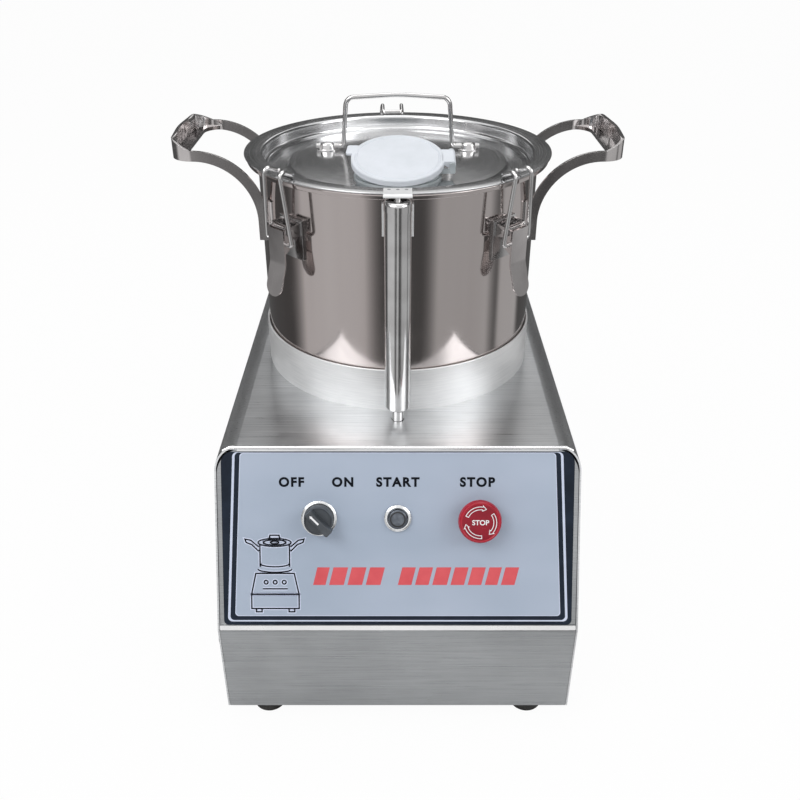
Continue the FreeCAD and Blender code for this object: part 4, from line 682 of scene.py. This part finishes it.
# Finish of each node's own shape; latch levers and hooks, not named here, are drawn wire
NODE_FINISHES = {
    "housing_shell": STEEL_COVER,
    "front_panel": STEEL_HOUSING,
    "control_panel": STEEL_HOUSING,
    "panel_overlay": FILM,
    "rear_panel": STEEL_HOUSING,
    "bottom_plate": STEEL_HOUSING,
    "rubber_feet": RUBBER,
    "foot_screws": STEEL_WIRE,
    "cable_gland": BLACK_PLASTIC,
    "seat_collar": STEEL_COLLAR,
    "selector_bezel": BEZEL_METAL,
    "start_bezel": BEZEL_METAL,
    "stop_bezel": BEZEL_METAL,
    "switch_blocks": BLACK_PLASTIC,
    "start_capacitor": CAP_PLASTIC,
    "contactor": BLACK_PLASTIC,
    "interlock_switch": BLACK_PLASTIC,
    "selector_knob": KNOB_PLASTIC,
    "start_button": BEZEL_METAL,
    "stop_stem": BLACK_PLASTIC,
    "stop_button": RED_PLASTIC,
    "motor_frame": CAST_ALLOY,
    "motor_flange": CAST_ALLOY,
    "shaft_bearings": STEEL_WIRE,
    "stator_core": IRON,
    "stator_windings": COPPER,
    "shaft_seal": RUBBER,
    "motor_shaft": STEEL_WIRE,
    "rotor_core": IRON,
    "cooling_fan": BLACK_PLASTIC,
    "blade_hub": CAP_PLASTIC,
    "lower_blades": STEEL_HANDLE,
    "blade_spacers": CAP_PLASTIC,
    "upper_blades": STEEL_HANDLE,
    "blade_nut": KNOB_PLASTIC,
    "bowl": STEEL_POT,
    "right_handle": STEEL_HANDLE,
    "left_handle": STEEL_HANDLE,
    "interlock_tube": STEEL_WIRE,
    "tube_bracket": STEEL_COLLAR,
    "interlock_plunger": STEEL_WIRE,
    "plunger_spring": STEEL_WIRE,
    "latch_mounts": STEEL_WIRE,
    "lid": STEEL_LID,
    "lid_gasket": RUBBER,
    "lid_tab": STEEL_COLLAR,
    "feed_port": PORT_PLASTIC,
    "cap_hinge": PORT_PLASTIC,
    "feed_cap": CAP_PLASTIC,
    "lid_bail": STEEL_WIRE,
    "bail_clips": STEEL_COLLAR,
}


def finish_nodes():
    """Give every node its finish."""
    for name, node in frame["nodes"].items():
        finish = NODE_FINISHES.get(name, STEEL_WIRE)
        node.data.materials.clear()
        node.data.materials.append(finish)


# Turned pieces with their true curves
def pot():
    """Deep-drawn bowl with its rolled rim and its centre tube."""
    piece = turned_piece("polished_pot", [
        (CENTRE_TUBE_INSIDE, BOWL_BOTTOM),
        (BOWL_RADIUS, BOWL_BOTTOM, 11.5),
        (BOWL_RADIUS, BOWL_RIM - 1.5, 1.5),
        (RIM_RADIUS - 2.4, BOWL_RIM - 1.5),
        (RIM_RADIUS - 2.4, BOWL_RIM - 4.8, 0.8),
        (RIM_RADIUS, BOWL_RIM - 4.8, 0.8),
        (RIM_RADIUS, BOWL_RIM, 1.7),
        (BOWL_INSIDE, BOWL_RIM, 1.4),
        (BOWL_INSIDE, BOWL_BOTTOM + 2, 10),
        (CENTRE_TUBE_OUTSIDE, BOWL_BOTTOM + 2),
        (CENTRE_TUBE_OUTSIDE, CENTRE_TUBE_TOP, 0.7),
        (CENTRE_TUBE_INSIDE, CENTRE_TUBE_TOP, 0.7),
    ], "bowl", STEEL_POT, steps=192)
    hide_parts("bowl")


def collar():
    """Low ring on the cover that the bowl stands in."""
    inner = BOWL_RADIUS + COLLAR_GAP
    outer = inner + COLLAR_SHEET
    top = COVER_TOP + COLLAR_HEIGHT
    piece = turned_piece("bowl_seat_collar", [
        (inner, COVER_TOP),
        (outer, COVER_TOP),
        (outer, top, 0.9),
        (inner, top, 0.9),
    ], "base", STEEL_COLLAR, steps=192)
    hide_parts("seat_collar")


def lid_sheet():
    """Pressed lid with its recess, step and the hole of the feed port."""
    wall = RECESS_RADIUS - SHEET
    corners = [
        (0, STEP_TOP - SHEET),
        (STEP_RADIUS - SHEET, STEP_TOP - SHEET, 1),
        (STEP_RADIUS + 2 - SHEET, PLATE_TOP - SHEET, 1),
        (RECESS_RADIUS, PLATE_TOP - SHEET, 5.2),
        (RECESS_RADIUS, LID_TOP - SHEET, 1.6),
        (LID_RADIUS, LID_TOP - SHEET, 0.5),
        (LID_RADIUS, LID_TOP, 0.5),
        (wall, LID_TOP, 2.8),
        (wall, PLATE_TOP, 4),
        (STEP_RADIUS + 2, PLATE_TOP, 1),
        (STEP_RADIUS, STEP_TOP, 1),
        (0, STEP_TOP),
    ]
    blank = in_scene("lid_blank", lathe_mesh("lid_plate", rounded(corners), 192))
    hole = PORT_RADIUS + 0.3
    reach = 60
    punch_mesh = lathe_mesh("port_punch", [(0, -reach), (hole, -reach), (hole, reach), (0, reach)], 96)
    punch_mesh.transform(Matrix.Translation((0, PORT_Y, STEP_TOP)))
    punch = in_scene("port_punch", punch_mesh)
    cut = blank.modifiers.new("port_hole", "BOOLEAN")
    cut.operation = "DIFFERENCE"
    cut.solver = "EXACT"
    cut.object = punch
    holed = bpy.data.meshes.new_from_object(blank.evaluated_get(bpy.context.evaluated_depsgraph_get()))
    for item in (blank, punch):
        bpy.data.objects.remove(item)
    holed.materials.clear()
    piece = make_object("pressed_lid", holed, "lid", [STEEL_LID], Matrix.Translation(BOWL_AXIS))
    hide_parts("lid")


# Print on the control panel
def field_outline(inset_side, inset_bottom, inset_top, radius, taper=0.045, top_radius=None):
    """Outline of the printed field, slightly narrower towards its top."""
    bottom = FILM_FOOT + inset_bottom
    top = FILM_HEAD - inset_top
    low = FILM_HALF_WIDTH - inset_side
    high = low - taper * (top - bottom)
    upper = top_radius or radius
    corners = [(-low, bottom, radius), (low, bottom, radius), (high, top, upper), (-high, top, upper)]
    return rounded(corners)


def printed_piece(name, mesh, material, out=0.0):
    """A thin print on the film."""
    piece = make_object(name, mesh, "base", [material], panel_place(0, 0, OVERLAY_LEVEL + out))


def panel_borders():
    """Two dark bands with a pale line between them, out to the film's edge."""
    edge = field_outline(-0.4, 0, 0, 4.2, 0, FILM_CORNER)
    pale_outside = field_outline(3.0, 3.0, 0.4, 4)
    pale_inside = field_outline(5.2, 4.3, 0.8, 3.5)
    field = field_outline(9.6, 8.0, 1.2, 3)
    field_edge = field_outline(10.3, 8.6, 1.8, 3)
    printed_piece("outer_border", band_mesh("outer_border", edge, pale_outside, 0, 0.06), NAVY)
    printed_piece("border_line", band_mesh("border_line", pale_outside, pale_inside, 0, 0.06), PALE_PRINT)
    printed_piece("inner_border", band_mesh("inner_border", pale_inside, field, 0, 0.06), NAVY)
    printed_piece("field_line", band_mesh("field_line", field, field_edge, 0, 0.05), PALE_PRINT)


def lip_strip():
    """Turned edge of the lower sheet, under the printed film, in steel paler than the sheet's own: a
    painted highlight over its real reflection.
    """
    half = 158
    foot = 0.4
    head = 4.7
    outline = rounded([(-half, foot, 0.8), (half, foot, 0.8), (half, head, 0.6), (-half, head, 0.6)])
    strip = slab_mesh("lip_strip", outline, -0.3, 0.06)
    piece = make_object("lip_strip", strip, "base", [STEEL_EDGE_HIGHLIGHT], panel_place())


def label_mesh(name, word, height, weight, spacing):
    """A plain word as a thin flat mesh, centred on the origin."""
    curve = bpy.data.curves.new(name, "FONT")
    curve.body = word
    curve.size = height / 0.72
    curve.space_character = spacing
    curve.offset = weight * curve.size
    curve.align_x = "CENTER"
    curve.align_y = "CENTER"
    curve.extrude = 0.03
    holder = in_scene(curve.name, curve)
    mesh = bpy.data.meshes.new_from_object(holder.evaluated_get(bpy.context.evaluated_depsgraph_get()))
    bpy.data.objects.remove(holder)
    mesh.materials.clear()
    return mesh


def panel_labels():
    """The words over the controls."""
    height = 8
    up = 133.6
    for word, across in (("OFF", -93), ("ON", -48), ("START", 0), ("STOP", 69.5)):
        name = "label_" + word.lower()
        mesh = label_mesh(name, word, height, 0.045, 1.22)
        place = panel_place(across, up, OVERLAY_LEVEL + 0.05)
        piece = make_object(name, mesh, "base", [BLACK_PRINT], place)


def red_bars():
    """Slanted bars in place of the printed words."""
    shape = bmesh.new()
    left = -75
    bottom = 41.5
    height = 16
    slant = 4
    space = 9
    gap = 3.2
    for widths in ((11, 13, 13, 13), (12, 12, 13, 12, 12, 11, 12)):
        for width in widths:
            right = left + width
            corners = [(left, bottom), (right, bottom)]
            corners += [(right + slant, bottom + height), (left + slant, bottom + height)]
            shape.faces.new([shape.verts.new((x, y, 0.05)) for x, y in corners])
            left = right + gap
        left += space + gap
    printed_piece("red_bars", plain_mesh("red_bars", shape), RED_PRINT, 0.02)


def machine_icon():
    """Plain line drawing of a bowl on its base, in black with a pale edge."""
    middle = -108.5
    foot = 17
    front = [(-21, foot + 3), (21, foot + 3), (21, foot + 16), (-21, foot + 16)]
    slope = [(-21, foot + 16), (21, foot + 16), (17, foot + 35), (-17, foot + 35)]
    lines = [(front, True), (slope, True)]
    for side in (-1, 1):
        block = [(side * 17, foot + 3), (side * 17, foot), (side * 12, foot), (side * 12, foot + 3)]
        handle = [(side * 14, foot + 59), (side * 21, foot + 65), (side * 26, foot + 66),
                  (side * 25, foot + 63), (side * 20, foot + 61), (side * 14, foot + 55)]
        wall = [(side * 13, foot + 41), (side * 13, foot + 62)]
        lines += [(block, False), (handle, False), (wall, False)]
    for radius, level, rise in ((15, 36, 3), (13, 41, 3)):
        angles = [math.pi + math.pi * step / 16 for step in range(17)]
        middle_level = foot + level + rise
        arc = [(radius * math.cos(angle), middle_level + rise * math.sin(angle)) for angle in angles]
        lines.append((arc, False))
    for width, height in ((14.5, 3.6), (10, 2.3), (3.6, 1.2)):
        angles = [math.pi * step / 18 for step in range(36)]
        oval = [(width * math.cos(angle), foot + 63 + height * math.sin(angle)) for angle in angles]
        lines.append((oval, True))
    lines.append(([(-5, foot + 65), (-4, foot + 69.5), (4, foot + 69.5), (5, foot + 65)], False))
    for across in (-8, 0, 8):
        lines.append(([(across + x, foot + 27 + y) for x, y in disc_outline(1.7, 12)], True))
    lines.append(([(-11, foot + 21), (11, foot + 21)], False))
    placed = [([(middle + x, y) for x, y in points], closed) for points, closed in lines]
    printed_piece("icon_edge", stroke_mesh("icon_edge", placed, 2.9, 0, 0.02), PALE_PRINT, 0.02)
    printed_piece("icon_lines", stroke_mesh("icon_lines", placed, 1.25, 0, 0.05), BLACK_PRINT, 0.02)


def turned_control(name, corners, body, material, across):
    """A turned piece standing on the panel; heights count from the panel's surface."""
    place = panel_place(across, CONTROL_HEIGHT, PANEL_SURFACE)
    return make_object(name, lathe_mesh(name, rounded(corners), 96), body, [material], place)


def bezels():
    """The bright rings of the three controls, with their bushings."""
    for name, node, across, radius, inside in (
        ("selector_ring", "selector_bezel", SELECTOR_X, 15.8, 6.4),
        ("start_ring", "start_bezel", 0, 12, 8.5),
        ("stop_ring", "stop_bezel", STOP_X, 15, 6.9),
    ):
        ring = turned_control(name, [
            (inside, -12),
            (11, -12),
            (11, 0),
            (radius, 0, 0.3),
            (radius, 1.7, 0.5),
            (radius - 1.7, BEZEL_HEIGHT, 0.5),
            (radius - 2.6, BEZEL_HEIGHT, 0.4),
            (radius - 3.3, 1.9, 0.4),
            (inside, 1.9, 0.3),
        ], "base", BEZEL_METAL, across)
        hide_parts(node)


def selector_switch():
    """Knob with a skirt, a waisted grip bar and a white pointer, resting on OFF."""
    level = 2.9
    base = turned_control("selector_disc", [
        (0, level - 10.6),
        (6, level - 10.6),
        (6, level),
        (12.9, level, 0.3),
        (12.9, level + 1, 0.3),
        (12.3, level + 9, 0.8),
        (11.5, level + 9.4, 0.4),
        (10.6, level + 8.8, 0.3),
        (0, level + 8.2),
    ], "selector", KNOB_PLASTIC, SELECTOR_X)
    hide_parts("selector_knob")
    half = 4.3
    waist = 3.6
    tail = -14.8
    tip = 12
    grip_foot = level + 7.6
    grip_top = level + 17
    side = [(waist + (half - waist) * (y / 11.5) ** 2, y) for y in range(-10, 11, 2)]
    outline = [(-half, tail, 1.6), (half, tail, 1.6)] + side
    outline += [(half, tip, 1.2), (-half, tip, 1.2)] + [(-x, y) for x, y in reversed(side)]
    bar = slab_mesh("selector_grip", rounded(outline, 4), grip_foot, grip_top)
    for corner in bar.vertices:
        if corner.co.z > grip_foot + 1:
            corner.co.x *= 0.86
            corner.co.y *= 0.97
            if corner.co.y > 9:
                corner.co.z -= 1.6
    turn = Matrix.Rotation(math.radians(45), 4, "Z")
    place = panel_place(SELECTOR_X, CONTROL_HEIGHT, PANEL_SURFACE) @ turn
    grip = make_object("selector_grip", bar, "selector", [KNOB_PLASTIC], place)
    soften(grip, 0.7, 3)
    arrow = [(-0.8, -1.5), (0.8, -1.5), (0.8, 7), (1.5, 7), (0, 9.2), (-1.5, 7), (-0.8, 7)]
    needle = slab_mesh("selector_pointer", arrow, grip_top, grip_top + 0.12)
    pointer = make_object("selector_pointer", needle, "selector", [WHITE_PRINT], place)


def cover_fold():
    """Rounded fold of the cover over the panel's top edge, turned down at its ends, in steel paler than
    the cover's own: a painted highlight over its real reflection.
    """
    reach = 153
    straight = 146
    fall = 3.2
    columns = 48
    steps = 8
    angles = [math.pi * step / steps for step in range(steps + 1)]
    points = []
    for column in range(columns + 1):
        x = reach * 2 * column / columns - reach
        level = FOLD_Z - fall * max(0, (abs(x) - straight) / (reach - straight)) ** 2
        for angle in angles:
            y = FOLD_Y - FOLD_RADIUS * math.sin(angle)
            points.append((x, y, level + FOLD_RADIUS * math.cos(angle)))
    row = steps + 1
    faces = []
    for column in range(columns):
        for step in range(steps):
            first = row * column + step
            faces.append((first, first + 1, first + 1 + row, first + row))
    mesh = bpy.data.meshes.new("cover_fold")
    mesh.from_pydata(points, [], faces)
    piece = make_object("cover_fold", mesh, "base", [STEEL_EDGE_HIGHLIGHT])


def start_switch():
    """Push button: a dark metal face with a black ring let into it."""
    travel = 2.5
    top = BEZEL_HEIGHT + travel
    body = turned_control("start_face", [
        (0, top - 11.5),
        (8.2, top - 11.5),
        (8.2, top - 0.3, 0.5),
        (7.4, top + 0.4, 0.4),
        (0, top + 0.6),
    ], "start", BUTTON_METAL, 0)
    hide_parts("start_button")
    ring = turned_control("start_light_ring", [
        (5.6, top + 0.3),
        (7.0, top + 0.3),
        (7.0, top + 0.62, 0.15),
        (5.6, top + 0.72, 0.15),
    ], "start", BLACK_PLASTIC, 0)


def stop_switch():
    """Stem and mushroom head, with a printed face of arrows and a word."""
    stem = turned_control("stop_stem_turned", [
        (0, -7.4),
        (6.5, -7.4),
        (6.5, 7.1, 0.4),
        (3.5, 7.1),
        (3.5, 12.6),
        (0, 12.6),
    ], "stop_slide", BLACK_PLASTIC, STOP_X)
    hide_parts("stop_stem")
    foot = 7.4
    head = turned_control("stop_head_turned", [
        (4, foot),
        (11.8, foot, 0.4),
        (15.2, foot + 1.6, 1.5),
        (18.4, foot + 2.4, 1.2),
        (19, foot + 4.5, 2),
        (18.2, foot + 8, 2),
        (16.9, foot + 9.6, 0.6),
        (16, foot + 9.2, 0.4),
        (0, foot + 10),
        (0, foot + 6),
        (4, foot + 6),
    ], "stop_head", RED_PLASTIC, STOP_X)
    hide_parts("stop_button")
    top = PANEL_SURFACE + foot + 9.25
    place = panel_place(STOP_X, CONTROL_HEIGHT, top)
    face = turned_control("stop_face", [
        (0, foot + 9.9),
        (15.7, foot + 9.15),
        (15.7, foot + 9.35, 0.1),
        (0, foot + 10.1),
    ], "stop_head", RED_FACE, STOP_X)
    lines = []
    sweep = math.radians(74)
    head_sweep = math.radians(14)
    for index in range(3):
        start = math.radians(155 - 120 * index)
        inner = [(11.4, start - sweep * step / 10) for step in range(11)]
        outer = [(13.9, start - sweep * step / 10) for step in range(10, -1, -1)]
        tip = [(10.4, start - sweep), (12.7, start - sweep - head_sweep), (14.9, start - sweep)]
        around = inner + tip + outer
        arrow = [(radius * math.cos(angle), radius * math.sin(angle)) for radius, angle in around]
        lines.append((arrow, True))
    drawn = stroke_mesh("stop_arrows", lines, 0.6, 0.15, 0.5)
    arrows = make_object("stop_arrows", drawn, "stop_head", [WHITE_PRINT], place)
    word = label_mesh("stop_word", "STOP", 4.4, 0.02, 1.0)
    piece = make_object("stop_word", word, "stop_head", [WHITE_PRINT],
                        panel_place(STOP_X, CONTROL_HEIGHT, top + 0.95))


def feed_lid():
    """White cap of the port: disc with a brim, a groove and its two ears."""
    disc = lathe_mesh("cap_disc", rounded([
        (0, 0.4),
        (CAP_RADIUS - 2.2, 0.4, 0.4),
        (CAP_RADIUS - 2.2, -2.4),
        (CAP_RADIUS, -2.4, 0.5),
        (CAP_RADIUS, CAP_THICKNESS - 0.2, 1.3),
        (CAP_RADIUS - 3.2, CAP_THICKNESS - 0.2, 0.6),
        (CAP_RADIUS - 4.4, CAP_THICKNESS - 1.1, 0.5),
        (CAP_RADIUS - 5.8, CAP_THICKNESS - 0.3, 0.8),
        (0, CAP_THICKNESS - 0.1),
    ]), 128)
    piece = make_object("port_cap_disc", disc, "cap", [CAP_PLASTIC], port_place())
    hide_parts("feed_cap")
    reach = CAP_RADIUS + 5
    root = CAP_RADIUS * 0.85
    side = rounded([(-root, 7), (-root, 22), (-reach + 1.5, 22, 2.4), (-reach, 7, 2.4)])
    pull = slab_mesh("cap_pull", side, 0.4, 2.8)
    ear = make_object("cap_pull_ear", pull, "cap", [CAP_PLASTIC], port_place())
    soften(ear, 0.6, 3)
    pin = CAP_RADIUS + 6.4
    half_width = 11
    profile = rounded([
        (CAP_RADIUS - 3, 0.8),
        (pin - 3.6, -3, 2.4),
        (pin + 3.2, -3, 2.4),
        (pin + 3.2, 3, 2.6),
        (CAP_RADIUS - 3, 3),
    ])
    hook = slab_mesh("cap_hook", profile, -half_width, half_width)
    turn = Matrix.Rotation(math.radians(90), 4, "X")
    hinge = make_object("cap_hinge_ear", hook, "cap", [CAP_PLASTIC], port_place(0, 3, 0) @ turn)
    soften(hinge, 0.5, 3)


# Sheet and rod pieces kept in shape, with small rounded edges: slot, finish, edge in millimetres
REFINED_NODES = {
    "right_handle": ("wire_steel", STEEL_HANDLE, 0.7),
    "left_handle": ("wire_steel", STEEL_HANDLE, 0.7),
    "latch_mounts": ("wire_steel", STEEL_WIRE, 0.35),
    "tube_bracket": ("collar_steel", STEEL_COLLAR, 0.5),
    "lid_tab": ("lid_steel", STEEL_COLLAR, 0.3),
    "interlock_tube": ("wire_steel", STEEL_WIRE, 0.2),
}


def refined_pieces():
    """Handles, mounts, levers and other sheet pieces with softened edges."""
    for node, (slot, finish, edge) in REFINED_NODES.items():
        refined(node, finish, edge)
    for node in frame["nodes"]:
        if node.startswith("latch_lever_"):
            refined(node, STEEL_HANDLE, 0.35)


def bail_saddles():
    """Two pressed domes over the bail's feet, each with its flat rim on the plate."""
    outline = rounded([
        (0, 0),
        (10.3, 0),
        (10.3, 0.9, 0.3),
        (8.4, 0.9, 0.5),
        (6.6, 6.6, 3.2),
        (0, 7.4),
        (0, 6.6),
    ])
    domes = []
    for side in (-1, 1):
        dome = lathe_mesh("dome", outline, 64)
        seat = (side * BAIL_CLIP_X, BOWL_AXIS[1] + BAIL_Y, STEP_TOP)
        dome.transform(Matrix.Translation(seat) @ Matrix.Diagonal((1, 0.76, 1, 1)))
        domes.append(dome)
    piece = make_object("bail_saddles", joined("bail_saddles", domes), "lid", [STEEL_WIRE])
    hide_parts("bail_clips")


def tab_welds():
    """Three spot welds on the lid's tab."""
    tab = frame["nodes"]["lid_tab"]
    corners = [tab.matrix_world @ Vector(corner) for corner in tab.bound_box]
    top = max(corner.z for corner in corners) / UNIT
    back = max(corner.y for corner in corners) / UNIT
    from_back = 4
    outline = [(0, 0.05), (0.5, 0.05), (0.9, 0.16), (1.3, 0.16), (1.6, -0.1), (0, -0.1)]
    spots = []
    for across in (-7, 0, 7):
        spot = lathe_mesh("spot", outline, 24)
        spot.transform(Matrix.Translation((across, back - from_back, top)))
        spots.append(spot)
    piece = make_object("tab_welds", joined("tab_welds", spots), "lid", [CAST_ALLOY])


def build():
    floor()
    surroundings()
    lamp("key_softbox", (-1.3, -1.2, 2.1), (0, 0, 0.25), 1.6, 1.2, 25)
    lamp("fill_softbox", (1.6, -0.9, 1.5), (0, 0, 0.25), 1.2, 1.2, 12)
    lamp("top_softbox", (0, 0.6, 2.4), (0, 0, 0.3), 1.4, 1.0, 9)
    studio_screens()
    camera()
    finish_nodes()
    pot()
    collar()
    lid_sheet()
    cover_fold()
    lip_strip()
    tab_welds()
    panel_borders()
    panel_labels()
    red_bars()
    machine_icon()
    bezels()
    selector_switch()
    start_switch()
    stop_switch()
    feed_lid()
    bail_saddles()
    refined_pieces()


build()
